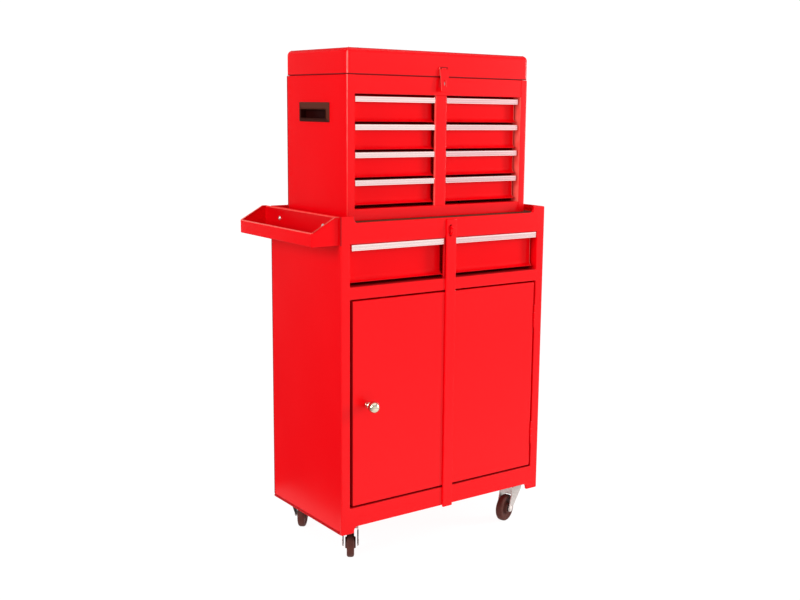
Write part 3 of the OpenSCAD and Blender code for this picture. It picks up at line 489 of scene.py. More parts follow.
# Tray screws: two zinc-plated pan head screws through the tray's back wall into the cabinet's side. The
# plating is warm pale grey with soft patches, and marked faces are darkened towards brown as painted shade.
spangle_size = 5.0
polish_size = 12.0
zinc, plating, spot = finish_of("zinc_plated_steel", Metallic=1.0)
spangle = add_node(zinc, "ShaderNodeTexVoronoi", {"Vector": spot, "Scale": 1 / (spangle_size * MM)})
tint = add_node(zinc, "ShaderNodeMix",
                {0: spangle.outputs["Distance"], 6: linear("#ece4df"), 7: linear("#d3c9c4")},
                data_type="RGBA")
# The attribute read here darkens the plating towards dark brown, a painted shade.
zinc_painted_shade = add_node(zinc, "ShaderNodeAttribute", {}, attribute_name="painted_light").outputs["Fac"]
zinc_shaded = add_node(zinc, "ShaderNodeMix", {0: zinc_painted_shade, 6: tint.outputs[2], 7: linear("#2e1512")},
                   data_type="RGBA")
link(zinc, zinc_shaded.outputs[2], plating, "Base Color")
polish = add_node(zinc, "ShaderNodeTexNoise",
                  {"Vector": spot, "Scale": 1 / (polish_size * MM), "Detail": 5})
gloss = add_node(zinc, "ShaderNodeMapRange",
                 {"Value": polish.outputs["Fac"], "To Min": 0.3, "To Max": 0.55})
link(zinc, gloss.outputs["Result"], plating, "Roughness")
ROUND_STEPS = 40
SCREW_STEPS = 24
screw_head_r = 4.6
screw_back = 8.0
screw_dome = 2.6
screw_shank_r = 2.0
recess_r = 1.6
recess_foot_r = 0.96
recess_deep = 1.2


def lathe(bm, section, place, steps=ROUND_STEPS):
    """A solid turned from a section of (radius, height) points about the depth axis of its place."""
    rings = []
    for radius, height in section:
        if radius == 0:
            rings.append([bm.verts.new(place @ Vector((0, 0, height)))])
            continue
        turns = [2 * math.pi * k / steps for k in range(steps)]
        rings.append([bm.verts.new(place @ Vector((radius * math.cos(a), radius * math.sin(a), height)))
                      for a in turns])
    for first, second in zip(rings, rings[1:]):
        for k in range(steps):
            j = (k + 1) % steps
            quad = [ring[at % len(ring)] for ring, at in ((first, k), (first, j), (second, j), (second, k))]
            distinct = list(dict.fromkeys(quad))
            if len(distinct) > 2:
                bm.faces.new(distinct)


low, high = extent("tray_screws")
screw_z = (low.z + high.z) / 2
dome = [(screw_head_r * math.cos(a), screw_dome * math.sin(a)) for a in (0, 0.3, 0.6, 0.9, 1.15)]
shank_end = low.x - high.x + screw_dome
recess_foot = screw_dome - recess_deep
turning = [(0, shank_end), (screw_shank_r, shank_end), (screw_shank_r, 0)] + dome
turning += [(recess_r, screw_dome), (recess_foot_r, recess_foot), (0, recess_foot)]
bm = bmesh.new()
for screw_y in (low.y + screw_head_r + screw_back, high.y - screw_head_r):
    out = Matrix.Translation((low.x + screw_dome, screw_y, screw_z)) @ Matrix.Rotation(-math.pi / 2, 4, "Y")
    lathe(bm, turning, out, SCREW_STEPS)
piece("tray_pan_head_screws", bm, zinc, "cabinet", ["tray_screws"], edge=0)


# Staple and hinges: the padlock staple is welded to the front frame and reaches out through the locking
# bar. Frame and door each carry half of two small pin hinges, painted with them.
staple_edge = 0.4


def soften(material, edge, *nodes):
    """Gives CAD nodes a finish and takes the sharpness off their edges."""
    dress(material, *nodes)
    for node in nodes:
        made = frame["nodes"][node]
        made.modifiers.new("joined", "WELD").merge_threshold = 0.001 * MM
        round_edges(made, edge)


soften(red_coat, staple_edge, "bar_staple")
dress(red_coat, "frame_hinge_leaves", "door_hinge_leaves")
dress(zinc, "door_hinge_pins")


# Caster plates: four zinc-plated steel plates bolted up through the cabinet's floor, each with the
# riveted king pin that its fork swivels on.
dress(zinc, "caster_plates")


# Caster forks: each is pressed from one plate of steel, with a bearing cup on top, two legs folded down to
# the axle bolt and a skirt between them above the wheel, and zinc plated. The legs trail behind the swivel,
# and painted shade darkens legs and skirt, fully on the left pair and a little on the right pair.
fork_t = 2.5
fork_half = 14.0
fork_bend = 4.0
fork_top = 80.2
fork_back = -25.0
fork_front = 18.0
heel_foot = 68.2
skirt_foot = 63.0
axle_up = 30.0
trail = 21.0
leg_tip_r = 7.0
shoulder_curve = 0.12
skirt_in = 0.2
skirt_under = 0.4
cup_r = 18.0
cup_top = 87.2
king_hole_r = 5.5
nut_r = 6.4
nut_h = 3.0
washer_r = 7.6
washer_h = 1.0
nut_crown = 0.6
left_fork_shade = 1.0
right_fork_shade = 0.2
NUT_SIDES = 6
LEG_ROWS = 9
TIP_ROWS = 6
PLATE_COLUMNS = 6
corners = ("front_left", "front_right", "rear_left", "rear_right")
joints = {joint["name"]: joint for joint in frame["joints"]}
caster_place = {}
for corner in corners:
    swivel = Vector(joints["swivel_" + corner]["pos_m"]) / MM
    axle = Vector(joints["wheel_" + corner + "_spin"]["pos_m"]) / MM
    heading = math.atan2(axle.y - swivel.y, axle.x - swivel.x)
    caster_place[corner] = Matrix.Translation((swivel.x, swivel.y, 0)) @ Matrix.Rotation(heading, 4, "Z")


def leg_edges(up):
    """Front and back edge of a fork's leg at a height, drawn in from the shoulder to the axle."""
    if up < axle_up:
        half = math.sqrt(max(leg_tip_r ** 2 - (axle_up - up) ** 2, 1.0))
        return trail - half, trail + half
    back_share = max(0, (heel_foot - up) / (heel_foot - axle_up))
    front_share = max(0, (skirt_foot - up) / (skirt_foot - axle_up))
    shoulder = shoulder_curve * max(0, up - fork_top + fork_bend) ** 2
    return (fork_back + (trail - leg_tip_r - fork_back) * back_share + shoulder,
            fork_front + (trail + leg_tip_r - fork_front) * front_share)


leg = [axle_up - leg_tip_r * math.sin(math.pi / 2 * k / TIP_ROWS) for k in range(TIP_ROWS, 0, -1)]
leg += [axle_up + (fork_top - fork_bend - axle_up) * k / LEG_ROWS for k in range(LEG_ROWS)]
over = turned([(-fork_half, fork_top - fork_bend - 1, 0), (-fork_half, fork_top, fork_bend),
               (fork_half, fork_top, fork_bend), (fork_half, fork_top - fork_bend - 1, 0)])
fork_line = [Vector((-fork_half, up)) for up in leg] + over[1:-1]
fork_line += [Vector((fork_half, up)) for up in leg[::-1]]
cup = [(king_hole_r, fork_top), (cup_r - 1, fork_top), (cup_r, fork_top + 1), (cup_r, cup_top - 2.4),
       (cup_r - 0.9, cup_top - 0.9), (cup_r - 2.6, cup_top), (king_hole_r, cup_top),
       (king_hole_r, fork_top)]
washer = [(0, 0), (washer_r, 0), (washer_r, washer_h), (0, washer_h)]
nut_top = nut_h + nut_crown
nut = [(0, washer_h), (nut_r, washer_h), (nut_r, nut_h), (nut_r - 1, nut_top), (0, nut_top)]
for corner in corners:
    place = caster_place[corner]
    bm = bmesh.new()
    rows = []
    for across, up in fork_line:
        back, ahead = leg_edges(up)
        rows.append([bm.verts.new(place @ Vector((back + (ahead - back) * k / PLATE_COLUMNS, across, up)))
                     for k in range(PLATE_COLUMNS + 1)])
    for first, second in zip(rows, rows[1:]):
        for k in range(PLATE_COLUMNS):
            bm.faces.new([first[k], first[k + 1], second[k + 1], second[k]][::-1])
    across, skirt_top = fork_half - skirt_in, fork_top - skirt_under
    bm.faces.new([bm.verts.new(place @ Vector((fork_front, side * across, up)))
                  for side, up in ((-1, skirt_top), (-1, skirt_foot), (1, skirt_foot), (1, skirt_top))])
    # Painted shade below the fold, deeper on the left forks than on the right.
    fork_shade = left_fork_shade if "left" in corner else right_fork_shade
    paint_light(bm, fork_shade, lambda spot, facing: spot.z < fork_top - fork_bend)
    piece("fork_" + corner, bm, zinc, "caster_" + corner, ["caster_fork_" + corner], fork_t)
    bm = bmesh.new()
    lathe(bm, cup, place)
    for side in (-1, 1):
        out = place @ Matrix.Translation((trail, side * fork_half, axle_up))
        out = out @ Matrix.Rotation(-side * math.pi / 2, 4, "X")
        lathe(bm, washer, out)
        lathe(bm, nut, out, NUT_SIDES)
    piece("fork_cup_and_nuts_" + corner, bm, zinc, "caster_" + corner)


# Caster wheels: moulded in one piece from hard dark rubber, with a plain rounded tread, a thinner web and
# a boss that turns on the axle bolt. The mould leaves a fine grain, and scuffs make it paler in patches.
wheel_r = 30.0
tread_half = 7.75
boss_half = 11.0
boss_r = 12.0
bore_r = 4.1
web_half = 5.4
rim_r = 22.0
scuff_size = 9.0
mould_grain = 1.2
WHEEL_STEPS = 64
wheel_rubber, rubber, spot = finish_of("moulded_wheel_rubber", Roughness=0.6, Specular_IOR_Level=0.12)
scuff = add_node(wheel_rubber, "ShaderNodeTexNoise",
                 {"Vector": spot, "Scale": 1 / (scuff_size * MM), "Detail": 6})
tint = add_node(wheel_rubber, "ShaderNodeMix",
                {0: scuff.outputs["Fac"], 6: linear("#42201b"), 7: linear("#5e332b")}, data_type="RGBA")
link(wheel_rubber, tint.outputs[2], rubber, "Base Color")
grain = add_node(wheel_rubber, "ShaderNodeTexNoise",
                 {"Vector": spot, "Scale": 1 / (mould_grain * MM), "Detail": 2})
rough = add_node(wheel_rubber, "ShaderNodeBump",
                 {"Height": grain.outputs["Fac"], "Strength": 0.25, "Distance": 0.2 * MM})
link(wheel_rubber, rough.outputs["Normal"], rubber, "Normal")
boss = [(bore_r, boss_half), (boss_r - 1.2, boss_half), (boss_r, boss_half - 0.8)]
web = [(boss_r + 0.6, web_half + 0.8), (boss_r + 2, web_half), (rim_r - 2, web_half),
       (rim_r - 0.4, web_half + 0.8)]
tread = [(rim_r, tread_half - 0.6), (rim_r + 0.8, tread_half), (wheel_r - 4.4, tread_half),
         (wheel_r - 2, tread_half - 0.8), (wheel_r - 0.6, tread_half - 2.4), (wheel_r, tread_half - 4.6)]
half_wheel = boss + web + tread
wheel_section = half_wheel + [(r, -w) for r, w in half_wheel[::-1]] + half_wheel[:1]
for corner in corners:
    bm = bmesh.new()
    spin = caster_place[corner] @ Matrix.Translation((trail, 0, axle_up))
    lathe(bm, wheel_section, spin @ Matrix.Rotation(math.pi / 2, 4, "X"), WHEEL_STEPS)
    piece("wheel_tyre_" + corner, bm, wheel_rubber, "wheel_" + corner,
          ["caster_wheel_" + corner], edge=0)


# Door: one steel sheet with all four edges folded back, powder coated, hung on two pin hinges at its
# right edge.
door_bend = 2.0
door_corner = 2.5
free_edge_shade = -0.65
bm = bmesh.new()
at_door = Matrix.Translation((0, door_low.y, 0)) @ to_front
lines = rail(bm, oblong(door_low.x, door_high.x, door_low.z, door_high.z, door_corner),
             folded_edge(door_bend, door_high.y - door_low.y), at_door, closed=True)
fill(bm, forwards, lines[0])
# Painted shade on the door's left folded edge.
paint_light(bm, free_edge_shade, lambda spot, facing: facing.x < -0.7)
piece("folded_door", bm, red_coat, "door", ["door_panel"], SHEET)


# Knob: a turned steel ball with a collar on a plain neck, polished and chrome plated. It is screwed to the
# door from behind. The plating is bright, with a faint haze from fingers.
haze_size = 6.0
ball_start = 0.17
BALL_STEPS = 20
KNOB_STEPS = 48
chrome, plating, spot = finish_of("polished_chrome", Metallic=1.0, Base_Color=linear("#d8cfb8"))
haze = add_node(chrome, "ShaderNodeTexNoise", {"Vector": spot, "Scale": 1 / (haze_size * MM), "Detail": 4})
gloss = add_node(chrome, "ShaderNodeMapRange",
                 {"Value": haze.outputs["Fac"], "To Min": 0.05, "To Max": 0.16})
link(chrome, gloss.outputs["Result"], plating, "Roughness")
low, high = extent("door_knob")
knob_r = (high.x - low.x) / 2
knob_len = high.y - low.y
foot_r = knob_r * 0.46
neck_r = knob_r * 0.36
collar_r = knob_r * 0.62
ball = knob_len - knob_r
turning = [(0, 0), (foot_r, 0), (foot_r, 1.0), (neck_r, 2.4), (neck_r, 7.0), (collar_r - 0.4, 7.8),
           (collar_r, 8.8), (collar_r, 10.2), (collar_r - 0.8, 11.4), (collar_r - 1.8, 12.4)]
turns = [math.pi * (ball_start + (1 - ball_start) * k / BALL_STEPS) for k in range(BALL_STEPS)]
turning += [(knob_r * math.sin(a), ball - knob_r * math.cos(a)) for a in turns] + [(0, knob_len)]
bm = bmesh.new()
middle = (low + high) / 2
out = Matrix.Translation((middle.x, high.y, middle.z)) @ Matrix.Rotation(math.pi / 2, 4, "X")
lathe(bm, turning, out, KNOB_STEPS)
piece("chromed_ball_knob", bm, chrome, "door", ["door_knob"], edge=0)


# Locking bar: a shallow steel channel fixed down the middle of the door, running up in front of the
# drawers. A slot near its head lets the staple through for a padlock.
bar_bend = 1.6
bar_corner = 2.0
bar_clear = 0.1
bar_left = 3.0
bar_right = 2.5
slot_w = 6.0
slot_h = 24.0
slot_down = 11.0
slot_corner = 1.5
slot_bend = 0.5
low, high = extent("lock_bar")
bm = bmesh.new()
at_bar = Matrix.Translation((0, low.y, 0)) @ to_front
rims = [rail(bm, oblong(low.x + bar_left, high.x + bar_right, low.z, high.z, bar_corner),
             folded_edge(bar_bend, front_low.y - low.y - bar_clear), at_bar, closed=True)[0]]
bar_x = (low.x + high.x) / 2
slot_z = high.z - slot_down
slot_line = oblong(bar_x - slot_w / 2, bar_x + slot_w / 2, slot_z - slot_h, slot_z, slot_corner)[::-1]
rims.append(rail(bm, slot_line, folded_edge(slot_bend, SHEET), at_bar, closed=True)[0])
fill(bm, forwards, *rims)
piece("slotted_locking_bar", bm, red_coat, "door", ["lock_bar"], SHEET)


# Drawers: each has a steel front that sweeps forward in a cove along its foot, a floor, and sides and
# back in one folded strip with a rolled top edge, all powder coated.
lip_r = 9.0
front_fold = 8.0
rolled = 4.0
end_edge = 1.4
box_bend = 1.5
skin = 1.1 * SHEET
pull_t = 1.8
pull_clear = 0.1
base_side_h = 60.0
chest_side_h = 38.0
COVE_STEPS = 10


def drawer(name, node, side_h, painted_light_share, reach):
    """A drawer of three sheets: its front with the cove, its floor, and its sides and back. The right end
    of its front carries a share of painted highlight, or of painted shade below zero, and reaches out
    past its side."""
    low, high = extent(node)
    face_y = low.y + lip_r
    bm = bmesh.new()
    cove = [Vector((low.y + lip_r * math.cos(a), low.z + SHEET + lip_r - lip_r * math.sin(a)))
            for a in angles(math.pi / 2, COVE_STEPS)]
    head = high.z - pull_t - pull_clear
    face = turned([(face_y + front_fold, head, 0), (face_y, head, box_bend), (face_y, cove[0].y + 1, 0)])
    face += cove
    tip = high.x + reach
    rail(bm, face, [(0, low.x), (0, tip - end_edge), (0, tip)], along_x)
    paint_light(bm, painted_light_share, lambda spot, facing: spot.x > tip - end_edge and facing.y < -0.5)
    rail(bm, [Vector((face_y + SHEET, low.z)), Vector((high.y, low.z))], [(0, low.x), (0, high.x)], along_x)
    strip = turned([(high.x, face_y + skin, 0), (high.x, high.y, box_bend), (low.x, high.y, box_bend),
                    (low.x, face_y + skin, 0)])
    roll = [(-hem_r * (1 - math.cos(a)), low.z + side_h - hem_r * (1 - math.sin(a)))
            for a in angles(math.pi / 2)]
    rail(bm, strip, [(0, low.z + skin)] + roll + [(-rolled, low.z + side_h)])
    piece(name, bm, satin_coat, node, [node], SHEET)


# Anodised aluminium, extruded, brushed along its length and left satin: pale and bright, with fine lines
# that run the length of the strip. The lines are 0.3 mm apart, and are drawn at 0.9 mm so that they show.
line_size = 0.9
line_length = 90.0
aluminium, anodised, spot = finish_of("satin_anodised_aluminium", Metallic=1.0)
stretched = add_node(aluminium, "ShaderNodeMapping",
                     {"Vector": spot, "Scale": [1 / (line_length * MM)] + [1 / (line_size * MM)] * 2})
brushed = add_node(aluminium, "ShaderNodeTexNoise",
                   {"Vector": stretched.outputs["Vector"], "Scale": 1, "Detail": 2}).outputs["Fac"]
tint = add_node(aluminium, "ShaderNodeMix", {0: brushed, 6: linear("#ffe8e2"), 7: linear("#fff4f0")},
                data_type="RGBA")
# The attribute read here tints the face pinker and darker: painted shade with a pink painted reflection of
# the red paint around it.
painted_light = add_node(aluminium, "ShaderNodeAttribute", {}, attribute_name="painted_light").outputs["Fac"]
painted_light_mix = add_node(aluminium, "ShaderNodeMix", {0: painted_light, 6: tint.outputs[2], 7: linear("#e2abaf")},
                   data_type="RGBA")
link(aluminium, painted_light_mix.outputs[2], anodised, "Base Color")
gloss = add_node(aluminium, "ShaderNodeMapRange", {"Value": brushed, "To Min": 0.14, "To Max": 0.24})
link(aluminium, gloss.outputs["Result"], anodised, "Roughness")
lines_bump = add_node(aluminium, "ShaderNodeBump",
                      {"Height": brushed, "Strength": 0.12, "Distance": 0.1 * MM})
link(aluminium, lines_bump.outputs["Normal"], anodised, "Normal")
groove_w = 0.7
groove_deep = 0.35
groove_shares = (0.7, 0.28)
pull_round = 2.2
curl_deep = 3.2
curl_up = 1.6
curl_lap = 0.2
clean_foot = 1.5
upper_share = 0.72
base_pull_rise = 0.5
chest_pull_rise = 2.4


def pull(name, node, body, pull_shade, rise, start=0.0, end=0.0):
    """An extruded strip, rounded over at the top, with two fine grooves along its face and a curled lower
    edge. Its face carries a share of painted shade with a pink painted reflection, half as much near its
    top, and its ends are moved along it by start and end."""
    low, high = extent(node)
    y0, y1, z0, z1 = low.y, high.y, low.z + rise, high.z
    face = [(y0, z1, pull_round)]
    for share in groove_shares:
        at = z0 + (z1 - z0) * share
        face += [(y0, at + groove_w, 0), (y0 + groove_deep, at + groove_w / 2, 0),
                 (y0 + groove_deep, at - groove_w / 2, 0), (y0, at - groove_w, 0)]
    section = [(y1, z1 - pull_t, 0), (y1, z1, 0)] + face + [
        (y0, z0, 1.0), (y0 + curl_deep, z0, 0.8), (y0 + curl_deep, z0 + curl_up, 0.5),
        (y0 + pull_t, z0 + curl_up + curl_lap, 0.4), (y0 + pull_t, z1 - pull_t, 0.6)]
    upper = z0 + upper_share * (z1 - z0)
    bm = bmesh.new()
    bar(bm, turned(section, closed=True), along_x, low.x + start, high.x + end)
    paint_light(bm, pull_shade, lambda spot, facing: facing.y < -0.6 and z0 + clean_foot < spot.z < upper)
    paint_light(bm, pull_shade / 2, lambda spot, facing: facing.y < -0.6 and spot.z > upper)
    piece(name, bm, aluminium, body, [node], edge=0.2)


# Painted shade at the right end of the left drawer's front and a painted highlight at the right one's; the
# right pull carries more painted shade than the left.
for side, painted_light_share, reach, pull_shade, start, end in (("left", -0.3, 6.0, 0.2, 1.0, 2.5),
                                              ("right", 0.4, 0.0, 0.55, 2.0, 2.5)):
    drawer("cabinet_drawer_box_" + side, "base_drawer_" + side, base_side_h, painted_light_share, reach)
    pull("cabinet_drawer_pull_" + side, "base_pull_" + side, "base_drawer_" + side, pull_shade, base_pull_rise,
         start, end)


# Chest shell and front: the chest is made like the cabinet, with plain corners. The shell's front edges
# come round as two flat stiles, which stand a sheet's thickness proud of the rails between them.
stile_proud = 0.8
stile_bend = 4.5
stile_lap = 0.4
rail_corner = 1.0
rail_bend = 0.6
opening_highlight = 0.4
stile_highlight = (0.1, 0.15, 0.2, 0.3, 0.4, 0.5)
chest_low, chest_high = extent("chest_front_frame")
stile_step = (chest_high.z - chest_low.z) / len(stile_highlight)
chest_post_low, chest_post_high = extent("chest_post")
drawer_side_gap = 4.0
hole_x0 = extent("chest_drawer_left_1")[0].x - drawer_side_gap
hole_x1 = extent("chest_drawer_right_1")[1].x + drawer_side_gap
handle_low, handle_high = extent("chest_handles")
handle_front = 12.5
handle_back = 4.5
handle_grip = 13.0
handle_sill = 6.0
handle_wall = 1.4
handle_clear = 0.2
pocket = (handle_low.y + handle_front, handle_high.y - handle_back, handle_low.z + handle_sill,
          handle_high.z - handle_grip)
shell("chest_shell", "chest_wrap", chest_low.y + frame_return + seam, "chest",
      hole=[at + way * (handle_wall + handle_clear) for at, way in zip(pocket, (-1, 1, -1, 1))])
bm = bmesh.new()
at_rails = Matrix.Translation((0, chest_low.y + stile_proud, 0)) @ to_front
opening = oblong(hole_x0, hole_x1, chest_post_low.z, chest_post_high.z, flange_bend)[::-1]
flange = folded_edge(flange_bend, chest_high.y - chest_low.y - stile_proud)
rim = rail(bm, opening, flange, at_rails, closed=True)[0]
border = oblong(chest_low.x + 2 * SHEET, chest_high.x - 2 * SHEET, chest_low.z, chest_high.z, rail_corner)
edge = rail(bm, border, folded_edge(rail_bend, frame_return), at_rails, closed=True)[0]
fill(bm, forwards, edge, rim)
for outer, inner in ((chest_low.x, hole_x0 - stile_lap), (chest_high.x, hole_x1 + stile_lap)):
    stile = turned([(inner, chest_low.y, 0), (outer, chest_low.y, stile_bend),
                    (outer, chest_low.y + frame_return, 0)])
    if outer < inner:
        stile = stile[::-1]
    rail(bm, stile, [(0, chest_low.z + stile_step * k) for k in range(len(stile_highlight) + 1)])
# Painted highlight on the stiles' front bends, stronger towards the top, and on the right edge of the
# drawer opening.
for k, share in enumerate(stile_highlight):
    paint_light(bm, share, lambda spot, facing: spot.z > chest_low.z + stile_step * k and abs(facing.x) > 0.5
        and min(spot.x - chest_low.x, chest_high.x - spot.x) < stile_bend and facing.y < -0.5)
paint_light(bm, opening_highlight, lambda spot, facing: abs(spot.x - hole_x1) < 2 * flange_bend and facing.x < -0.3)
piece("chest_front", bm, red_coat, "chest", ["chest_front_frame"], SHEET)
# Painted highlight on the left side of the chest's post.
post("chest_middle_post", "chest_post", "chest", share=0.25, inset=0)
dress(red_coat, "chest_floor", "till_floor")


# Dust lip: a strip of the same sheet, spot welded inside the chest's sides and back, which stands up into
# the shut lid and keeps dust and light out of the gap.
dust_in = 4.6
dust_up = 4.0
dust_down = 12.0
dust_bend = 1.5
dust_lip_shade = -0.6
low, high = extent("chest_wrap")
bm = bmesh.new()
dust_x0, dust_x1, dust_back = low.x + dust_in, high.x - dust_in, high.y - dust_in
dust_front = chest_high.y + 4 * SHEET
lip = turned([(dust_x1, dust_front, 0), (dust_x1, dust_back, dust_bend), (dust_x0, dust_back, dust_bend),
              (dust_x0, dust_front, 0)])
rail(bm, lip, [(0, high.z - dust_down), (0, high.z + dust_up)])
# Painted shade over the whole lip.
paint_light(bm, dust_lip_shade, lambda spot, facing: True)
piece("chest_dust_lip", bm, satin_coat, "chest", sheet=SHEET)


# Carrying handles: cups moulded in black plastic and let into the chest's sides, each with a broad grip
# above a deep pocket for the fingers. The moulding has a fine matt grain, and its border is painted
# lighter brown as painted light, less at its back and foot.
handle_corner = 2.0
border_proud = 1.5
border_foot = 0.05
pocket_deep = 11.4
pocket_bend = 1.2
plastic_grain = 1.0
border_light = 1.0
far_border_light = 0.3
plastic, moulded, spot = finish_of("moulded_black_plastic", Roughness=0.55, Specular_IOR_Level=0.04)
grain = add_node(plastic, "ShaderNodeTexNoise",
                 {"Vector": spot, "Scale": 1 / (plastic_grain * MM), "Detail": 2}).outputs["Fac"]
tint = add_node(plastic, "ShaderNodeMix", {0: grain, 6: linear("#200303"), 7: linear("#2a0706")},
                data_type="RGBA")
painted_light = add_node(plastic, "ShaderNodeAttribute", {}, attribute_name="painted_light").outputs["Fac"]
painted_light_mix = add_node(plastic, "ShaderNodeMix", {0: painted_light, 6: tint.outputs[2], 7: linear("#55291f")},
                   data_type="RGBA")
link(plastic, painted_light_mix.outputs[2], moulded, "Base Color")
rough = add_node(plastic, "ShaderNodeBump", {"Height": grain, "Strength": 0.3, "Distance": 0.15 * MM})
link(plastic, rough.outputs["Normal"], moulded, "Normal")
for side, wall_x, sign in (("left", chest_low.x, -1), ("right", chest_high.x, 1)):
    bm = bmesh.new()
    out = Matrix(((0, 0, sign, wall_x), (1, 0, 0, 0), (0, 1, 0, 0), (0, 0, 0, 1)))
    away = Vector((sign, 0, 0))
    border = oblong(handle_low.y, handle_high.y, handle_low.z, handle_high.z, handle_corner)
    edge = [(0, border_foot), (-0.1, border_proud - 0.6), (-0.8, border_proud)]
    rim = rail(bm, border, edge, out, closed=True)[-1]
    lip = [(offset, border_proud - deep) for offset, deep in folded_edge(pocket_bend, pocket_deep)]
    lines = rail(bm, oblong(*pocket, handle_corner)[::-1], lip + [(0.4, -pocket_deep)], out, closed=True)
    fill(bm, away, rim, lines[0])
    fill(bm, away, lines[-1])
    # Painted light on the border, weaker on its back and lower parts.
    paint_light(bm, border_light, lambda spot, facing: (spot.x - wall_x) * sign > 0)
    paint_light(bm, far_border_light, lambda spot, facing: (spot.x - wall_x) * sign > 0
        and (spot.y > pocket[1] or spot.z < pocket[2]))
    piece("handle_cup_" + side, bm, plastic, "chest",
          ["chest_handles"] if side == "left" else [], handle_wall)


# Lid: one steel sheet pressed to a shallow box with rounded top edges, powder coated, on a long hinge
# along its back edge. The hinge is a rolled zinc-plated strip with nine knuckles on one pin.
lid_corner = 2.6
lid_hem = 0.9
lid_r = 10.5
lid_corner_highlight = 0.5
crown_shade = -0.08
lid_hem_shade = -0.85
CROWN_STEPS = 8
low, high = extent("lid")
crown = [(-lid_r * (1 - math.cos(a)), high.z - lid_r * (1 - math.sin(a)))
         for a in angles(math.pi / 2, CROWN_STEPS)]
bm = bmesh.new()
lines = rail(bm, oblong(low.x, high.x, low.y, high.y, lid_corner + lid_r / 2),
             [(0, low.z - lid_hem), (0, low.z + lid_hem)] + crown, closed=True)
fill(bm, Vector((0, 0, 1)), lines[-1])
# Painted highlight on the vertical corners, faint painted shade on the top bends, and dark painted shade
# along the lower hem.
paint_light(bm, lid_corner_highlight, lambda spot, facing: abs(facing.x) > 0.6 and abs(facing.y) > 0.6)
paint_light(bm, crown_shade, lambda spot, facing: 0.3 < facing.z < 0.98)
paint_light(bm, lid_hem_shade, lambda spot, facing: spot.z < low.z + lid_hem)
piece("pressed_lid", bm, red_coat, "lid", ["lid"], SHEET)
dress(zinc, "lid_hinge_lower", "lid_hinge_upper", "lid_hinge_pin")


# Hasp: a small steel plate hung on a pin from a bracket on the lid, with a slot that drops over a staple
# on the chest. Bracket and plate are painted with the lid, and the staple is zinc plated.
hasp_axis = Vector(joints["hasp_swing"]["pos_m"]) / MM
hasp_edge = 0.35
hasp_knuckle = 2.5
hasp_side_highlight = 0.5
hasp_head_shade = -1.0
hasp_knuckle_shade = -0.9
staple_shade = 0.45


def mark(node, share, near):
    """Gives the faces of a CAD node a share of painted highlight, or painted shade below zero."""
    made = frame["nodes"][node]
    layer = made.data.attributes.get("painted_light") or made.data.attributes.new("painted_light", "FLOAT", "FACE")
    for face in made.data.polygons:
        if near(made.matrix_world @ face.center / MM, face.normal):
            layer.data[face.index].value = share


# Painted highlight on the left sides of bracket and plate, and painted shade on their tops and under the
# knuckles.
for node in ("hasp_bracket", "hasp_plate"):
    mark(node, hasp_side_highlight, lambda spot, facing: facing.x < -0.9)
    mark(node, hasp_head_shade, lambda spot, facing: facing.z > 0.3 and spot.z > hasp_axis.z)
    mark(node, hasp_knuckle_shade, lambda spot, facing: facing.z < -0.3
         and abs(spot.z - hasp_axis.z) < hasp_knuckle)
soften(red_coat, hasp_edge, "hasp_bracket", "hasp_plate")
# Painted shade darkens the staple.
mark("hasp_staple", staple_shade, lambda spot, facing: True)
soften(zinc, staple_edge, "hasp_staple")


# Chest drawers: eight small drawers in two columns, made like the cabinet's from the same coated sheet,
# each with its own aluminium pull.
# Painted shade at the right ends of the left drawers' fronts and a painted highlight at the right ones';
# the right pulls carry more painted shade than the left.
for side, painted_light_share, reach, pull_shade in (("left", -0.3, 2.5, 0.35), ("right", 0.4, 0.0, 0.75)):
    for row in ("1", "2", "3", "4"):
        name = side + "_" + row
        drawer("chest_drawer_box_" + name, "chest_drawer_" + name, chest_side_h, painted_light_share, reach)
        pull("chest_drawer_strip_" + name, "chest_pull_" + name, "chest_drawer_" + name, pull_shade,
             chest_pull_rise)


# Studio: a small sheet of pale paper for a floor, a soft light each to the left and the right, a dimmer one
# from above, and a camera that stands where the photograph was taken, at the same height and angle.
floor_half = 0.38
fibre_size = 40.0
bright_side = (0.35, -0.94, 0.0)
cloth_side = (0.0, 1.0, 0.0)
room_dark = 0.05
cloth_bright = 1.4
room_bright = 1.08
backdrop_bright = 1.06
ceiling_power = 1.3
paper, sweep, spot = finish_of("white_paper_floor", Roughness=0.9, Specular_IOR_Level=0.1,
                               Emission_Color=linear("#ffffff"), Emission_Strength=0.95)
fibre = add_node(paper, "ShaderNodeTexNoise", {"Vector": spot, "Scale": 1 / (fibre_size * MM), "Detail": 3})
tint = add_node(paper, "ShaderNodeMix",
                {0: fibre.outputs["Fac"], 6: linear("#585858"), 7: linear("#5e5e5e")}, data_type="RGBA")
link(paper, tint.outputs[2], sweep, "Base Color")
mesh = bpy.data.meshes.new("studio_floor")
mesh.from_pydata([(-floor_half, -floor_half, 0), (floor_half, -floor_half, 0), (floor_half, floor_half, 0),
                  (-floor_half, floor_half, 0)], [], [(0, 1, 2, 3)])
mesh.materials.append(paper)
floor = bpy.data.objects.new("studio_floor", mesh)
bpy.context.scene.collection.objects.link(floor)

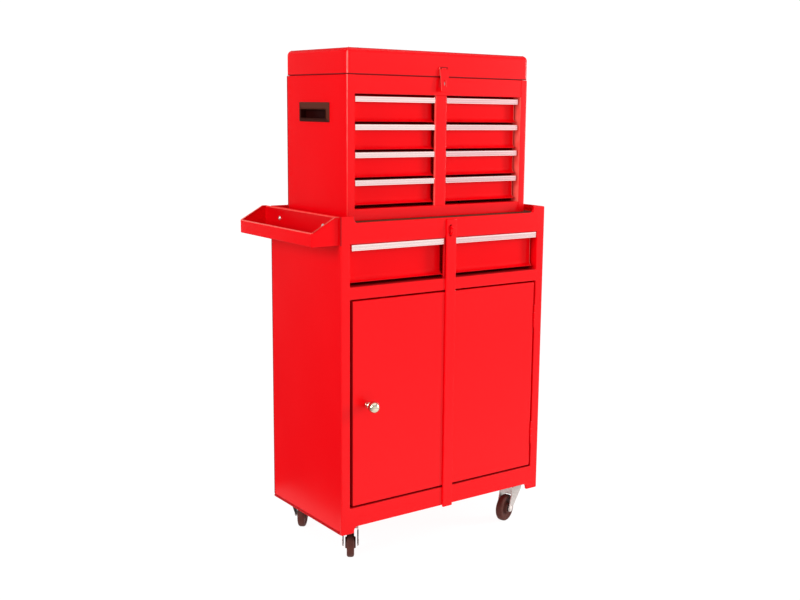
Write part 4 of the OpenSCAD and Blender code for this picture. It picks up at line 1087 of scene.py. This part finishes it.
room = bpy.data.worlds.new("studio_room")
room.use_nodes = True
heading = add_node(room, "ShaderNodeTexCoord", {}).outputs["Generated"]
facing = add_node(room, "ShaderNodeVectorMath", {0: heading, 1: bright_side}, operation="DOT_PRODUCT")
walls = add_node(room, "ShaderNodeMapRange",
                 {"Value": facing.outputs["Value"], "From Min": -0.95, "From Max": 0.8,
                  "To Min": room_dark, "To Max": room_bright})
level = add_node(room, "ShaderNodeSeparateXYZ", {"Vector": heading}).outputs["Z"]
under = add_node(room, "ShaderNodeMapRange", {"Value": level, "From Min": -0.3, "From Max": 0.05,
                                              "To Min": 0.65, "To Max": 1.0})
paved = add_node(room, "ShaderNodeMapRange", {"Value": level, "From Min": -0.35, "From Max": -0.17,
                                              "To Min": 0.55, "To Max": 0.0})
lower = add_node(room, "ShaderNodeMath", {0: under.outputs["Result"], 1: paved.outputs["Result"]},
                 operation="ADD")
above = add_node(room, "ShaderNodeMapRange", {"Value": level, "From Min": 0.3, "From Max": 0.75,
                                              "To Min": 1.0, "To Max": 0.4})
graded = add_node(room, "ShaderNodeMath", {0: walls.outputs["Result"], 1: lower.outputs["Value"]},
                  operation="MULTIPLY")
graded = add_node(room, "ShaderNodeMath", {0: graded.outputs["Value"], 1: above.outputs["Result"]},
                  operation="MULTIPLY")
behind = add_node(room, "ShaderNodeVectorMath", {0: heading, 1: cloth_side}, operation="DOT_PRODUCT")
cloth = add_node(room, "ShaderNodeMapRange",
                 {"Value": behind.outputs["Value"], "From Min": 0.89, "From Max": 0.93,
                  "To Min": 0.0, "To Max": cloth_bright})
graded = add_node(room, "ShaderNodeMath", {0: graded.outputs["Value"], 1: cloth.outputs["Result"]},
                  operation="ADD")
seen = add_node(room, "ShaderNodeLightPath", {}).outputs["Is Camera Ray"]
glow = add_node(room, "ShaderNodeMix", {0: seen, 2: graded.outputs["Value"], 3: backdrop_bright})
air = room.node_tree.nodes["Background"]
air.inputs["Color"].default_value = linear("#ffffff")
link(room, glow.outputs[0], air, "Strength")
bpy.context.scene.world = room
bpy.context.scene.view_settings.view_transform = "Standard"


def softbox(name, spot, aim, width, height, power):
    """A large flat light at a spot, in metres, turned towards a point."""
    lamp = bpy.data.lights.new(name, "AREA")
    lamp.shape = "RECTANGLE"
    lamp.size, lamp.size_y, lamp.energy = width, height, power
    made = bpy.data.objects.new(name, lamp)
    made.location = spot
    made.rotation_mode = "QUATERNION"
    made.rotation_quaternion = (Vector(aim) - Vector(spot)).to_track_quat("-Z", "Y")
    bpy.context.scene.collection.objects.link(made)


softbox("key_softbox", spot=(-3.0, -0.5, 1.5), aim=(0, 0, 0.7), width=0.6, height=1.6, power=62)
softbox("fill_softbox", spot=(2.72, -1.5, 1.15), aim=(0, 0, 0.6), width=0.6, height=1.4, power=62)

ceiling = bpy.data.lights.new("ceiling_panel", "SUN")
ceiling.energy = ceiling_power
ceiling.angle = math.radians(80)
bpy.context.scene.collection.objects.link(bpy.data.objects.new("ceiling_panel", ceiling))

camera_spot = Vector((-1.32, -1.91568, 0.92398))
camera_yaw = math.radians(36.818)
camera_pitch = math.radians(9.915)
camera_roll = math.radians(0.851)
focal_px = 1092.327
frame_w, frame_h = 800, 600
centre_px = (442.0, 300.0)
ahead = Vector((math.sin(camera_yaw) * math.cos(camera_pitch),
                math.cos(camera_yaw) * math.cos(camera_pitch), -math.sin(camera_pitch)))
across = Vector((math.cos(camera_yaw), -math.sin(camera_yaw), 0))
upward = across.cross(ahead)
level = across * math.cos(camera_roll) + upward * math.sin(camera_roll)
top = upward * math.cos(camera_roll) - across * math.sin(camera_roll)
lens = bpy.data.cameras.new("studio_camera")
lens.sensor_width = 36.0
lens.lens = focal_px * lens.sensor_width / frame_w
lens.shift_x = (frame_w / 2 - centre_px[0]) / frame_w
lens.shift_y = (centre_px[1] - frame_h / 2) / frame_w
camera = bpy.data.objects.new("studio_camera", lens)
camera.matrix_world = Matrix.Translation(camera_spot) @ Matrix((level, top, -ahead)).transposed().to_4x4()
bpy.context.scene.collection.objects.link(camera)
bpy.context.scene.camera = camera
